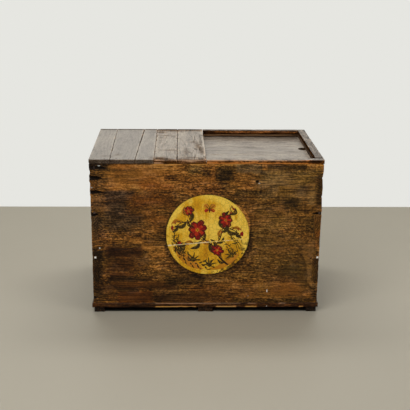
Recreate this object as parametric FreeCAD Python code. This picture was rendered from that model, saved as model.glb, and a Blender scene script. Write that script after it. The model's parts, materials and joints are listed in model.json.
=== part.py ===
"""A dovetailed storage chest with fixed planks over half its top and a sliding lid over the other half.

Sizes are in millimetres. The origin is on the floor under the middle of the chest. X runs along the
chest to the viewer's right, Y runs from the front to the back and Z is up.
"""

import FreeCAD, Part
import math
import os

# Carcase
BODY_LENGTH = 800.0  # over the two side walls
BODY_DEPTH = 532.0  # over the front and back walls
WALL_HEIGHT = 509.0
WALL_THICKNESS = 24.0  # front and back walls
SIDE_THICKNESS = 24.0  # left and right walls
FRONT_JOINT_HEIGHT = 227.0  # edge joint of the two front boards, above the walls' foot at mid length
FRONT_JOINT_RISE = 72.0  # how much higher that joint is at the right end than at the left end
BACK_JOINT_HEIGHT = 262.0
BACK_JOINT_RISE = -44.0

# Corner dovetails
TOP_FINGER_HEIGHT = 51.0  # each of the two highest fingers
TOP_FINGER_COUNT = 2
LOWER_FINGER_COUNT = 5  # these share the rest of the wall's height
DOVETAIL_FLARE = 5.0  # a tail's end is wider than its root by this much on each side

# Bottom and skids
BOTTOM_THICKNESS = 16.0
BOTTOM_OVERHANG = 3.0  # past the walls, all round
BOTTOM_BOARD_COUNT = 3
SKID_HEIGHT = 18.5
END_SKID_WIDTH = 36.0
MIDDLE_SKID_WIDTH = 52.0
SKID_INSET = 4.0  # of the end skids, from the ends of the body
SKID_SETBACK = 3.0  # of every skid, from the front and the back of the body

# Top: fixed planks on the left, a rim round the lid on the right
TOP_THICKNESS = 15.0
TOP_OVERHANG_END = 4.0  # past the side walls
TOP_OVERHANG_FRONT = 3.0  # past the front and back walls
PLANK_WIDTHS = (71.5, 86.0, 64.5, 79.5, 100.5)  # at the front, from the left
PLANK_JOINT_LEANS = (-4.5, 16.0, 2.0, 2.0)  # how far each joint between planks leans right at the back
PLANK_GAP = 1.0  # shrinkage gap between neighbours

# Sliding lid
LID_RECESS = 9.0  # the lid's top below the walls' top edge
LID_THICKNESS = 12.0
LID_BOARD_COUNT = 3
LID_OVERLAP = 25.0  # under the last fixed plank when shut
LID_END_CLEARANCE = 0.5  # to the right wall when shut, and to the left wall when open
GROOVE_DEPTH = 9.0  # in the front and back walls
GROOVE_HEADROOM = 1.0  # above the lid
GROOVE_SIDE_CLEARANCE = 1.0  # between the lid's edge and the groove's bottom
NOTCH_WIDTH = 45.0  # finger notch in the lid's right end
NOTCH_DEPTH = 27.0
NOTCH_OFFSET = 18.0  # behind the middle of the chest
BATTEN_WIDTH = 30.0
BATTEN_THICKNESS = 14.0
BATTEN_INSET = 45.0  # from the lid's left end, and from the bottom of the finger notch
BATTEN_END_GAP = 8.0  # from the front and back walls

# Painted medallion on the front
MEDALLION_RADIUS = 146.0
MEDALLION_THICKNESS = 0.6
MEDALLION_OFFSET = 5.0  # to the right of the middle
MEDALLION_HEIGHT = 254.0  # its centre above the walls' foot

# Forged square nails
NAIL_SHANK = 3.0
NAIL_HEAD = 7.0  # of the corner, bottom and skid nails
SMALL_NAIL_HEAD = 4.5  # of the nails in the planks, rails and battens
NAIL_HEAD_THICKNESS = 1.5
NAIL_POINT = 6.0
TOP_NAIL_LENGTH = 45.0
BOTTOM_NAIL_LENGTH = 46.0
SKID_NAIL_LENGTH = 30.0
CORNER_NAIL_LENGTH = 50.0
BATTEN_NAIL_LENGTH = 22.0
NAILS_PER_PLANK_END = 2
NAILS_PER_RAIL = 3
BOTTOM_NAILS_PER_WALL = 5
CORNER_NAIL_RISE = 8.0  # above the lower edge of the finger it is driven through
RIGHT_NAIL_SHIFT = 5.5  # of the right corners' nails, from the middle of the side wall's end outwards
NAILED_FINGERS = (1, 2)  # which fingers of the front and back walls are nailed, counted from the top one
SKID_NAIL_SINK = 1.0  # below the skid's foot

# Bamboo pegs in the edge joints
PEG_RADIUS = 4.0
PEG_LENGTH = 50.0
LID_PEG_RADIUS = 2.5
LID_PEG_LENGTH = 40.0
PEG_CLEARANCE = 0.1
WALL_PEG_COUNT = 3
SIDE_PEG_COUNT = 2
LID_PEG_COUNT = 2

# Levels and faces that several pieces share
BOTTOM_LEVEL = SKID_HEIGHT
FOOT_LEVEL = BOTTOM_LEVEL + BOTTOM_THICKNESS
RIM_LEVEL = FOOT_LEVEL + WALL_HEIGHT
TOP_LEVEL = RIM_LEVEL + TOP_THICKNESS
LID_TOP = RIM_LEVEL - LID_RECESS
LID_FLOOR = LID_TOP - LID_THICKNESS
END_X = BODY_LENGTH / 2
INNER_X = END_X - SIDE_THICKNESS
FACE_Y = BODY_DEPTH / 2
INNER_Y = FACE_Y - WALL_THICKNESS
TOP_END_X = END_X + TOP_OVERHANG_END
TOP_FACE_Y = FACE_Y + TOP_OVERHANG_FRONT
GROOVE_Y = INNER_Y + GROOVE_DEPTH
NAIL_LINE_Y = (FACE_Y + GROOVE_Y) / 2  # through the solid part of the wall, outside the groove
FIXED_END_X = sum(PLANK_WIDTHS) - TOP_END_X
LID_LEFT_X = FIXED_END_X - LID_OVERLAP
LID_RIGHT_X = INNER_X - LID_END_CLEARANCE
LID_EDGE_Y = GROOVE_Y - GROOVE_SIDE_CLEARANCE
LID_TRAVEL = LID_LEFT_X + INNER_X - LID_END_CLEARANCE

UP = FreeCAD.Vector(0, 0, 1)
DOWN = FreeCAD.Vector(0, 0, -1)
ALONG = FreeCAD.Vector(1, 0, 0)
BACKWARD = FreeCAD.Vector(0, 1, 0)
FORWARD = FreeCAD.Vector(0, -1, 0)


def block(x_range, y_range, z_range):
    """A box between two places on each axis."""
    low = FreeCAD.Vector(x_range[0], y_range[0], z_range[0])
    size = FreeCAD.Vector(x_range[1], y_range[1], z_range[1]) - low
    return Part.makeBox(size.x, size.y, size.z, low)


def prism(corners, sweep):
    """A solid swept from the polygon with these corners."""
    outline = Part.makePolygon(corners + corners[:1])
    return Part.Face(outline).extrude(sweep)


def spread(low, high, count):
    """The middles of so many equal stretches between two places."""
    step = (high - low) / count
    return [low + step * (index + 0.5) for index in range(count)]


def shares(low, high, count):
    """The ends of so many equal stretches between two places."""
    step = (high - low) / count
    return [(low + step * index, low + step * (index + 1)) for index in range(count)]


def bored(piece, fasteners):
    """The piece with room cut for the fasteners that reach it."""
    reaching = [fastener for fastener in fasteners if fastener.BoundBox.intersect(piece.BoundBox)]
    return piece.cut(reaching) if reaching else piece


def nail(head, direction, length, head_width=NAIL_HEAD):
    """A forged square nail with its head flush at one point, driven in one direction."""
    half_shank = NAIL_SHANK / 2
    half_head = head_width / 2
    shank = prism(
        [
            FreeCAD.Vector(-half_shank, -half_shank, 0),
            FreeCAD.Vector(half_shank, -half_shank, 0),
            FreeCAD.Vector(half_shank, -half_shank, length - NAIL_POINT),
            FreeCAD.Vector(0, -half_shank, length),
            FreeCAD.Vector(-half_shank, -half_shank, length - NAIL_POINT),
        ],
        BACKWARD * NAIL_SHANK,
    )
    cap = block((-half_head, half_head), (-half_head, half_head), (0, NAIL_HEAD_THICKNESS))
    driven = shank.fuse(cap).removeSplitter().Solids[0]
    driven.Placement = FreeCAD.Placement(head, FreeCAD.Rotation(UP, direction))
    return driven


def peg(middle, direction, radius, length):
    """A round bamboo peg centred on one point, and the hole that it fits."""
    start = middle - direction * (length / 2)
    hole_start = start - direction * PEG_CLEARANCE
    hole_length = length + 2 * PEG_CLEARANCE
    hole = Part.makeCylinder(radius + PEG_CLEARANCE, hole_length, hole_start, direction)
    return Part.makeCylinder(radius, length, start, direction), hole


def fingers():
    """Top and bottom level of each corner finger, from the highest down."""
    lower_top = RIM_LEVEL - TOP_FINGER_HEIGHT * TOP_FINGER_COUNT
    levels = [RIM_LEVEL - TOP_FINGER_HEIGHT * index for index in range(TOP_FINGER_COUNT)]
    lower_height = (lower_top - FOOT_LEVEL) / LOWER_FINGER_COUNT
    levels += [lower_top - lower_height * index for index in range(LOWER_FINGER_COUNT)]
    levels.append(FOOT_LEVEL)
    return list(zip(levels[:-1], levels[1:]))


WALL_FINGERS = fingers()[0::2]  # those of the front and back walls
SIDE_TAILS = fingers()[1::2]  # those of the side walls
MIDDLE_FINGER = WALL_FINGERS[len(WALL_FINGERS) // 2]
SIDE_JOINT_LEVEL = sum(MIDDLE_FINGER) / 2  # between two tails, so every tail is whole


def joint_level(middle_height, rise, x):
    """Level of a tapered wall's edge joint at one place along the wall."""
    return FOOT_LEVEL + middle_height + rise * x / BODY_LENGTH


def side_wall(x_left):
    """A side wall before it is divided, with its dovetails at both ends."""

    def end_outline(inner_y, outer_y):
        points = [FreeCAD.Vector(x_left, inner_y, RIM_LEVEL)]
        for tail_top, tail_foot in SIDE_TAILS:
            points.append(FreeCAD.Vector(x_left, inner_y, tail_top - DOVETAIL_FLARE))
            points.append(FreeCAD.Vector(x_left, outer_y, tail_top))
            points.append(FreeCAD.Vector(x_left, outer_y, tail_foot))
            points.append(FreeCAD.Vector(x_left, inner_y, tail_foot + DOVETAIL_FLARE))
        points.append(FreeCAD.Vector(x_left, inner_y, FOOT_LEVEL))
        return points

    front = end_outline(-INNER_Y, -FACE_Y)
    back = end_outline(INNER_Y, FACE_Y)
    return prism(front + back[::-1], ALONG * SIDE_THICKNESS)


def long_wall(y_outer, y_inner, side_walls):
    """The front or back wall before it is divided, cut for the side walls' tails and the lid's groove."""
    blank = block((-END_X, END_X), sorted((y_outer, y_inner)), (FOOT_LEVEL, RIM_LEVEL))
    groove_y = math.copysign(GROOVE_Y, y_inner)
    groove = block(
        (-INNER_X, INNER_X),
        sorted((y_inner, groove_y)),
        (LID_FLOOR, LID_TOP + GROOVE_HEADROOM),
    )
    return blank.cut(side_walls + [groove])


def above_joint(middle_height, rise, y_range):
    """Everything over a tapered wall's edge joint, between two planes across the chest."""
    ends = (-TOP_END_X, TOP_END_X)
    left, right = [joint_level(middle_height, rise, x) for x in ends]
    corners = [
        FreeCAD.Vector(ends[0], y_range[0], left),
        FreeCAD.Vector(ends[1], y_range[0], right),
        FreeCAD.Vector(ends[1], y_range[0], TOP_LEVEL),
        FreeCAD.Vector(ends[0], y_range[0], TOP_LEVEL),
    ]
    return prism(corners, BACKWARD * (y_range[1] - y_range[0]))


def wall_pegs(middle_height, rise, y):
    """Pegs and holes along the edge joint of the front or back wall."""
    middles = [
        FreeCAD.Vector(x, y, joint_level(middle_height, rise, x))
        for x in spread(-INNER_X, INNER_X, WALL_PEG_COUNT)
    ]
    return [peg(middle, UP, PEG_RADIUS, PEG_LENGTH) for middle in middles]


def side_pegs(x):
    """Pegs and holes along the edge joint of a side wall."""
    middles = [
        FreeCAD.Vector(x, y, SIDE_JOINT_LEVEL) for y in spread(-INNER_Y, INNER_Y, SIDE_PEG_COUNT)
    ]
    return [peg(middle, UP, PEG_RADIUS, PEG_LENGTH) for middle in middles]


def corner_nails():
    """Nails through fingers of the front and back walls into the side walls."""
    levels = [WALL_FINGERS[index][1] + CORNER_NAIL_RISE for index in NAILED_FINGERS]
    nail_x = END_X - SIDE_THICKNESS / 2
    return [
        nail(FreeCAD.Vector(x, y, level), direction, CORNER_NAIL_LENGTH)
        for y, direction in ((-FACE_Y, BACKWARD), (FACE_Y, FORWARD))
        for x in (-nail_x, nail_x + RIGHT_NAIL_SHIFT)
        for level in levels
    ]


def plank_edges():
    """Front and back places of the fixed planks' edges, from the left end of the top."""
    edges = [(-TOP_END_X, -TOP_END_X)]
    for width, lean in zip(PLANK_WIDTHS, PLANK_JOINT_LEANS + (0.0,)):
        front_x = edges[-1][0] + width
        edges.append((front_x, front_x + lean))
    return edges


def top_planks():
    """The fixed planks and their nails, two at each end of each plank."""
    planks = []
    nails = []
    edges = plank_edges()
    for left, right in zip(edges[:-1], edges[1:]):
        gap = PLANK_GAP if left != edges[0] else 0.0
        planks.append(
            prism(
                [
                    FreeCAD.Vector(left[0] + gap, -TOP_FACE_Y, RIM_LEVEL),
                    FreeCAD.Vector(right[0], -TOP_FACE_Y, RIM_LEVEL),
                    FreeCAD.Vector(right[1], TOP_FACE_Y, RIM_LEVEL),
                    FreeCAD.Vector(left[1] + gap, TOP_FACE_Y, RIM_LEVEL),
                ],
                UP * TOP_THICKNESS,
            )
        )
        for y, end in ((-NAIL_LINE_Y, 0), (NAIL_LINE_Y, 1)):
            for x in spread(left[end] + gap, right[end], NAILS_PER_PLANK_END):
                head = FreeCAD.Vector(x, y, TOP_LEVEL)
                nails.append(nail(head, DOWN, TOP_NAIL_LENGTH, SMALL_NAIL_HEAD))
    return planks, nails


def rim_rails():
    """The rails round the lid and their nails. The front rail reaches the corner, the right rail the back."""
    z_range = (RIM_LEVEL, TOP_LEVEL)
    start_x = FIXED_END_X + PLANK_GAP
    rails = {
        "rim_rail_front": block((start_x, TOP_END_X), (-TOP_FACE_Y, -INNER_Y), z_range),
        "rim_rail_right": block((INNER_X, TOP_END_X), (-INNER_Y, TOP_FACE_Y), z_range),
        "rim_rail_rear": block((start_x, INNER_X), (INNER_Y, TOP_FACE_Y), z_range),
    }
    side_x = END_X - SIDE_THICKNESS / 2
    heads = [(x, y) for y in (-NAIL_LINE_Y, NAIL_LINE_Y) for x in spread(start_x, INNER_X, NAILS_PER_RAIL)]
    heads += [(side_x, y) for y in spread(-INNER_Y, INNER_Y, NAILS_PER_RAIL)]
    nails = [
        nail(FreeCAD.Vector(x, y, TOP_LEVEL), DOWN, TOP_NAIL_LENGTH, SMALL_NAIL_HEAD) for x, y in heads
    ]
    return rails, nails


def bottom_boards():
    """The bottom boards and the nails that hold them up to the walls."""
    reach_x = END_X + BOTTOM_OVERHANG
    reach_y = FACE_Y + BOTTOM_OVERHANG
    rows = shares(-reach_y, reach_y, BOTTOM_BOARD_COUNT)
    boards = [block((-reach_x, reach_x), row, (BOTTOM_LEVEL, FOOT_LEVEL)) for row in rows]
    wall_y = FACE_Y - WALL_THICKNESS / 2
    side_x = END_X - SIDE_THICKNESS / 2
    heads = [(x, y) for y in (-wall_y, wall_y) for x in spread(-INNER_X, INNER_X, BOTTOM_NAILS_PER_WALL)]
    heads += [(x, y) for x in (-side_x, side_x) for y in spread(-INNER_Y, INNER_Y, BOTTOM_BOARD_COUNT)]
    nails = [nail(FreeCAD.Vector(x, y, BOTTOM_LEVEL), UP, BOTTOM_NAIL_LENGTH) for x, y in heads]
    return boards, nails


def skids():
    """The three runners under the bottom and their nails, sunk so that they clear the floor."""
    end_x = END_X - SKID_INSET
    half_middle = MIDDLE_SKID_WIDTH / 2
    ranges = {
        "skid_left": (-end_x, -end_x + END_SKID_WIDTH),
        "skid_middle": (-half_middle, half_middle),
        "skid_right": (end_x - END_SKID_WIDTH, end_x),
    }
    reach_y = FACE_Y - SKID_SETBACK
    runners = {
        name: block(x_range, (-reach_y, reach_y), (0, SKID_HEIGHT)) for name, x_range in ranges.items()
    }
    half_head = NAIL_HEAD / 2
    nails = []
    pockets = []
    for x_range in ranges.values():
        x = sum(x_range) / 2
        for y in spread(-reach_y, reach_y, BOTTOM_BOARD_COUNT):
            nails.append(nail(FreeCAD.Vector(x, y, SKID_NAIL_SINK), UP, SKID_NAIL_LENGTH))
            head_x = (x - half_head, x + half_head)
            pockets.append(block(head_x, (y - half_head, y + half_head), (0, SKID_NAIL_SINK)))
    return runners, nails, pockets


def finger_notch():
    """The round-ended notch in the lid's right end that a finger pushes the lid with."""
    radius = NOTCH_WIDTH / 2
    z_range = (LID_FLOOR, LID_TOP)
    centre_x = LID_RIGHT_X - NOTCH_DEPTH + radius
    end = Part.makeCylinder(radius, LID_THICKNESS, FreeCAD.Vector(centre_x, NOTCH_OFFSET, LID_FLOOR))
    mouth = block((centre_x, LID_RIGHT_X), (NOTCH_OFFSET - radius, NOTCH_OFFSET + radius), z_range)
    return end.fuse(mouth).removeSplitter()


def lid():
    """The lid's boards, battens, pegs and nails."""
    rows = shares(-LID_EDGE_Y, LID_EDGE_Y, LID_BOARD_COUNT)
    boards = [block((LID_LEFT_X, LID_RIGHT_X), row, (LID_FLOOR, LID_TOP)) for row in rows]
    left_x = LID_LEFT_X + BATTEN_INSET
    right_x = LID_RIGHT_X - NOTCH_DEPTH - BATTEN_INSET
    batten_z = (LID_FLOOR - BATTEN_THICKNESS, LID_FLOOR)
    reach_y = INNER_Y - BATTEN_END_GAP
    battens = [
        block(x_range, (-reach_y, reach_y), batten_z)
        for x_range in ((left_x, left_x + BATTEN_WIDTH), (right_x - BATTEN_WIDTH, right_x))
    ]
    nails = [
        nail(FreeCAD.Vector(x, sum(row) / 2, batten_z[0]), UP, BATTEN_NAIL_LENGTH, SMALL_NAIL_HEAD)
        for x in (left_x + BATTEN_WIDTH / 2, right_x - BATTEN_WIDTH / 2)
        for row in rows
    ]
    peg_level = (LID_FLOOR + LID_TOP) / 2
    pegs = [
        peg(FreeCAD.Vector(x, row[1], peg_level), BACKWARD, LID_PEG_RADIUS, LID_PEG_LENGTH)
        for row in rows[:-1]
        for x in spread(left_x + BATTEN_WIDTH, right_x - BATTEN_WIDTH, LID_PEG_COUNT)
    ]
    cuts = nails + [hole for _, hole in pegs]
    notch = finger_notch()
    boards = [bored(board, cuts + [notch]) for board in boards]
    battens = [bored(batten, nails) for batten in battens]
    return boards, battens, nails, [solid for solid, _ in pegs]


def medallion():
    """The round painted ground on the front, one half on each front board."""
    front_y = -FACE_Y - MEDALLION_THICKNESS
    centre = FreeCAD.Vector(MEDALLION_OFFSET, front_y, FOOT_LEVEL + MEDALLION_HEIGHT)
    disc = Part.makeCylinder(MEDALLION_RADIUS, MEDALLION_THICKNESS, centre, BACKWARD)
    over = above_joint(FRONT_JOINT_HEIGHT, FRONT_JOINT_RISE, (front_y, -FACE_Y))
    return {"medallion_upper": disc.common(over), "medallion_lower": disc.cut(over)}


def carcase(top_nails, bottom_nails):
    """The four walls, each of two boards, with their pegs and corner nails."""
    side_walls = {"left": side_wall(-END_X), "right": side_wall(INNER_X)}
    corners = corner_nails()
    driven = top_nails + bottom_nails + corners
    pieces = {"corner_nails": Part.makeCompound(corners)}
    long_walls = {
        "front": (-FACE_Y, -INNER_Y, FRONT_JOINT_HEIGHT, FRONT_JOINT_RISE),
        "back": (FACE_Y, INNER_Y, BACK_JOINT_HEIGHT, BACK_JOINT_RISE),
    }
    for side, (outer_y, inner_y, height, rise) in long_walls.items():
        pegs = wall_pegs(height, rise, (outer_y + inner_y) / 2)
        wall = long_wall(outer_y, inner_y, list(side_walls.values()))
        over = above_joint(height, rise, sorted((outer_y, inner_y)))
        cuts = driven + [hole for _, hole in pegs]
        pieces[f"{side}_board_upper"] = bored(wall.common(over), cuts)
        pieces[f"{side}_board_lower"] = bored(wall.cut(over), cuts)
        pieces[f"{side}_board_pegs"] = Part.makeCompound([solid for solid, _ in pegs])
    over = block((-TOP_END_X, TOP_END_X), (-TOP_FACE_Y, TOP_FACE_Y), (SIDE_JOINT_LEVEL, TOP_LEVEL))
    for side, wall in side_walls.items():
        pegs = side_pegs(wall.BoundBox.Center.x)
        cuts = driven + [hole for _, hole in pegs]
        pieces[f"{side}_side_board_upper"] = bored(wall.common(over), cuts)
        pieces[f"{side}_side_board_lower"] = bored(wall.cut(over), cuts)
        pieces[f"{side}_side_pegs"] = Part.makeCompound([solid for solid, _ in pegs])
    return pieces


def chest():
    """Every node of the chest, by name."""
    planks, plank_nails = top_planks()
    rails, rim_nails = rim_rails()
    boards, bottom_nails = bottom_boards()
    runners, skid_nails, pockets = skids()
    lid_boards, battens, batten_nails, lid_pegs = lid()
    nodes = carcase(plank_nails + rim_nails, bottom_nails)
    nodes.update(medallion())
    for number, plank in enumerate(planks, 1):
        nodes[f"top_plank_{number}"] = bored(plank, plank_nails)
    for name, rail in rails.items():
        nodes[name] = bored(rail, rim_nails)
    for number, board in enumerate(boards, 1):
        nodes[f"bottom_board_{number}"] = bored(board, bottom_nails + skid_nails)
    for name, runner in runners.items():
        nodes[name] = bored(runner, skid_nails + pockets)
    for number, board in enumerate(lid_boards, 1):
        nodes[f"lid_board_{number}"] = board
    nodes["lid_batten_left"], nodes["lid_batten_right"] = battens
    nodes["lid_batten_nails"] = Part.makeCompound(batten_nails)
    nodes["lid_pegs"] = Part.makeCompound(lid_pegs)
    nodes["top_plank_nails"] = Part.makeCompound(plank_nails)
    nodes["rim_nails"] = Part.makeCompound(rim_nails)
    nodes["bottom_nails"] = Part.makeCompound(bottom_nails)
    nodes["skid_nails"] = Part.makeCompound(skid_nails)
    return nodes


def main():
    os.makedirs("parts", exist_ok=True)
    for name, shape in chest().items():
        shape.exportStep(f"parts/{name}.step")
    print(f"lid travel {LID_TRAVEL:.1f} mm, overall height {TOP_LEVEL:.1f} mm")


main()
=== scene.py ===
"""Looks of a worn plank chest with a sliding lid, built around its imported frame.

Every board is rebuilt from its solid with rounded, chipped edges and an uneven planed face, and finished in
procedural wood. The round panel on the front gets a cracked ochre ground and a painted flower spray.
"""

import json
import math
from collections import namedtuple

import bmesh
import bpy
import numpy as np
from bpy.props import FloatProperty, FloatVectorProperty, PointerProperty
from mathutils import Matrix, Vector, noise


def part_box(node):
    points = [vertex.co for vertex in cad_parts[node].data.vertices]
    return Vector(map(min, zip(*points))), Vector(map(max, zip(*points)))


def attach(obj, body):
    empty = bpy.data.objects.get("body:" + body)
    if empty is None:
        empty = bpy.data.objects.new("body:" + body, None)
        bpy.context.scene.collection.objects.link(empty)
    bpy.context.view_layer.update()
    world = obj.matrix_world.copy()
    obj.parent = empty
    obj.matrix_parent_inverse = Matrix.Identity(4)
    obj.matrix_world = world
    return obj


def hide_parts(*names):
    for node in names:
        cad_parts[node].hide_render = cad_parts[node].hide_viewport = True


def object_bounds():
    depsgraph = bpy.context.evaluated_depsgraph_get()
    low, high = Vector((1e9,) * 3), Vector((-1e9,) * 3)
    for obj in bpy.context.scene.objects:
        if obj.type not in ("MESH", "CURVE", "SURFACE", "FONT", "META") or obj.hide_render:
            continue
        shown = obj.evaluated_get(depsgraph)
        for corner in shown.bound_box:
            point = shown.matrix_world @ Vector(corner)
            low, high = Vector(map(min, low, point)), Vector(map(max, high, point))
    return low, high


bl_info = {
    "name": "Worn plank chest",
    "version": (1, 0, 0),
    "blender": (4, 5, 0),
    "location": "3D View > Sidebar > Chest",
    "description": "Dresses the packed chest in worn lacquered wood, a painted panel and iron nails",
    "category": "Object",
}

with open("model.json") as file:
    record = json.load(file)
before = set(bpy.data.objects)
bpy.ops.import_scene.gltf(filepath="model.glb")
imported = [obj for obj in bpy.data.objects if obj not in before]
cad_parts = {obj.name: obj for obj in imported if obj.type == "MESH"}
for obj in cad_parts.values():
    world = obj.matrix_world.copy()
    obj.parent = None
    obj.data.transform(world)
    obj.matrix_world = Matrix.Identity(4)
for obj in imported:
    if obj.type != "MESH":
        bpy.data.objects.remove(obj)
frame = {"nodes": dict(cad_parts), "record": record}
CAD_BOX = [list(map(float, corner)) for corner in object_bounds()]
MM = 0.001
AXES = "XYZ"


def srgb(red, green, blue):
    """A colour written in 0 to 255 display steps, as the linear values that a shader takes."""
    shares = [step / 255 for step in (red, green, blue)]
    return [s / 12.92 if s <= 0.04045 else ((s + 0.055) / 1.055) ** 2.4 for s in shares]


def colour(name, description, red, green, blue):
    """A colour setting."""
    default = srgb(red, green, blue)
    return FloatVectorProperty(
        name=name, description=description, subtype="COLOR", size=3, min=0, max=1, default=default
    )


def length(name, description, millimetres):
    """A length setting."""
    return FloatProperty(name=name, description=description, default=millimetres * MM, min=0, unit="LENGTH")


def power(name, description, watts):
    """A setting for the power of a lamp."""
    return FloatProperty(name=name, description=description, default=watts, unit="POWER")


class ChestWear(bpy.types.PropertyGroup):
    """How far the boards are worn."""

    arris: length("Arris", "Rounding of a board's edges", 1.3)
    shrink: length("Shrinkage", "How far the old faces lie inside the new board", 0.35)
    ripple: length("Ripple", "Unevenness of a hand-planed face", 0.3)
    chip: length("Chips", "Deepest chips along an edge", 2.4)
    slice: length("Slice", "Spacing of the points on a board's faces", 8.0)


class ChestColours(bpy.types.PropertyGroup):
    """The woods, the iron and the paint."""

    lacquer_black: colour("Lacquer black", "Darkest lacquer and grime", 22, 15, 9)
    lacquer_dark: colour("Lacquer dark", "Thick old lacquer", 51, 35, 20)
    lacquer_brown: colour("Lacquer brown", "Ordinary worn lacquer", 88, 59, 25)
    amber: colour("Amber", "Thin lacquer over wood", 138, 86, 32)
    bare_amber: colour("Bare amber", "Wood rubbed bare of lacquer", 196, 138, 70)
    olive: colour("Olive", "Cool tint of the lacquer", 88, 68, 28)
    russet: colour("Russet", "Red tint of the lacquer", 104, 50, 12)
    top_dark: colour("Top dark", "Stained parts of the top", 58, 47, 36)
    top_grey: colour("Top grey", "Rubbed parts of the top", 122, 112, 100)
    top_pale: colour("Top pale", "Worn edges of the top", 178, 163, 142)
    inside_dark: colour("Inside dark", "Darkened bare wood", 70, 48, 30)
    inside_pale: colour("Inside pale", "Bare wood", 132, 99, 66)
    iron: colour("Iron", "Worn bright iron", 236, 234, 228)
    rust: colour("Rust", "Rusted iron", 58, 40, 30)
    bamboo: colour("Bamboo", "Split bamboo", 172, 143, 92)
    ochre: colour("Ochre", "Ground of the round panel", 240, 200, 76)
    ochre_mid: colour("Middle ochre", "Soiled ground of the round panel", 214, 159, 24)
    ochre_deep: colour("Deep ochre", "Stained ground of the round panel", 176, 114, 8)
    gesso: colour("Gesso", "Bare ground along the crack", 226, 212, 170)
    red: colour("Red", "Painted petals", 152, 18, 16)
    red_deep: colour("Deep red", "Shaded petals", 98, 8, 12)
    red_bright: colour("Bright red", "Lit petals", 178, 44, 18)
    orange: colour("Orange", "Thin washes on the round panel", 188, 120, 36)
    leaf: colour("Leaf", "Painted leaves", 76, 62, 14)
    ink: colour("Ink", "Painted stems", 36, 22, 8)
    lime: colour("Lime", "Splashes of limewash", 232, 228, 216)


class ChestStage(bpy.types.PropertyGroup):
    """The plain studio round the chest."""

    floor: colour("Floor", "Plain pale floor", 160, 153, 137)
    wall: colour("Wall", "Plain pale backdrop", 230, 230, 225)
    wall_distance: length("Wall distance", "From the middle of the chest to the backdrop", 1110.0)
    key_power: power("Key", "Soft light from the front left", 92.0)
    fill_power: power("Fill", "Soft light from the right", 40.0)
    top_power: power("Top", "Soft light from above", 46.0)
    sky: FloatProperty(name="Sky", description="Strength of the light from the whole sky", default=0.2)


class Value:
    """An output in a material. Arithmetic on it adds Math nodes."""

    def __init__(self, finish, socket):
        self.finish = finish
        self.socket = socket

    def math(self, operation, *inputs, clamp=False):
        settings = {"operation": operation, "use_clamp": clamp}
        return self.finish.node("ShaderNodeMath", settings, dict(enumerate(inputs)))

    def __add__(self, other):
        return self.math("ADD", self, other)

    def __sub__(self, other):
        return self.math("SUBTRACT", self, other)

    def __rsub__(self, other):
        return self.math("SUBTRACT", other, self)

    def __mul__(self, other):
        return self.math("MULTIPLY", self, other)

    def __truediv__(self, other):
        return self.math("DIVIDE", self, other)

    def __pow__(self, power):
        return self.math("POWER", self, power)

    __radd__ = __add__
    __rmul__ = __mul__

    def sine(self):
        return self.math("SINE", self)

    def swing(self, strength):
        """A noise's swing to both sides of its middle."""
        return (self - 0.5) * strength

    def clamped(self):
        return self.math("ADD", self, 0.0, clamp=True)

    def between(self, low, high):
        """0 below low, 1 above high and smooth between them. It runs down where low is above high."""
        settings = {"interpolation_type": "SMOOTHSTEP"}
        sockets = {"Value": self, "From Min": low, "From Max": high}
        return self.finish.node("ShaderNodeMapRange", settings, sockets)


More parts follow.
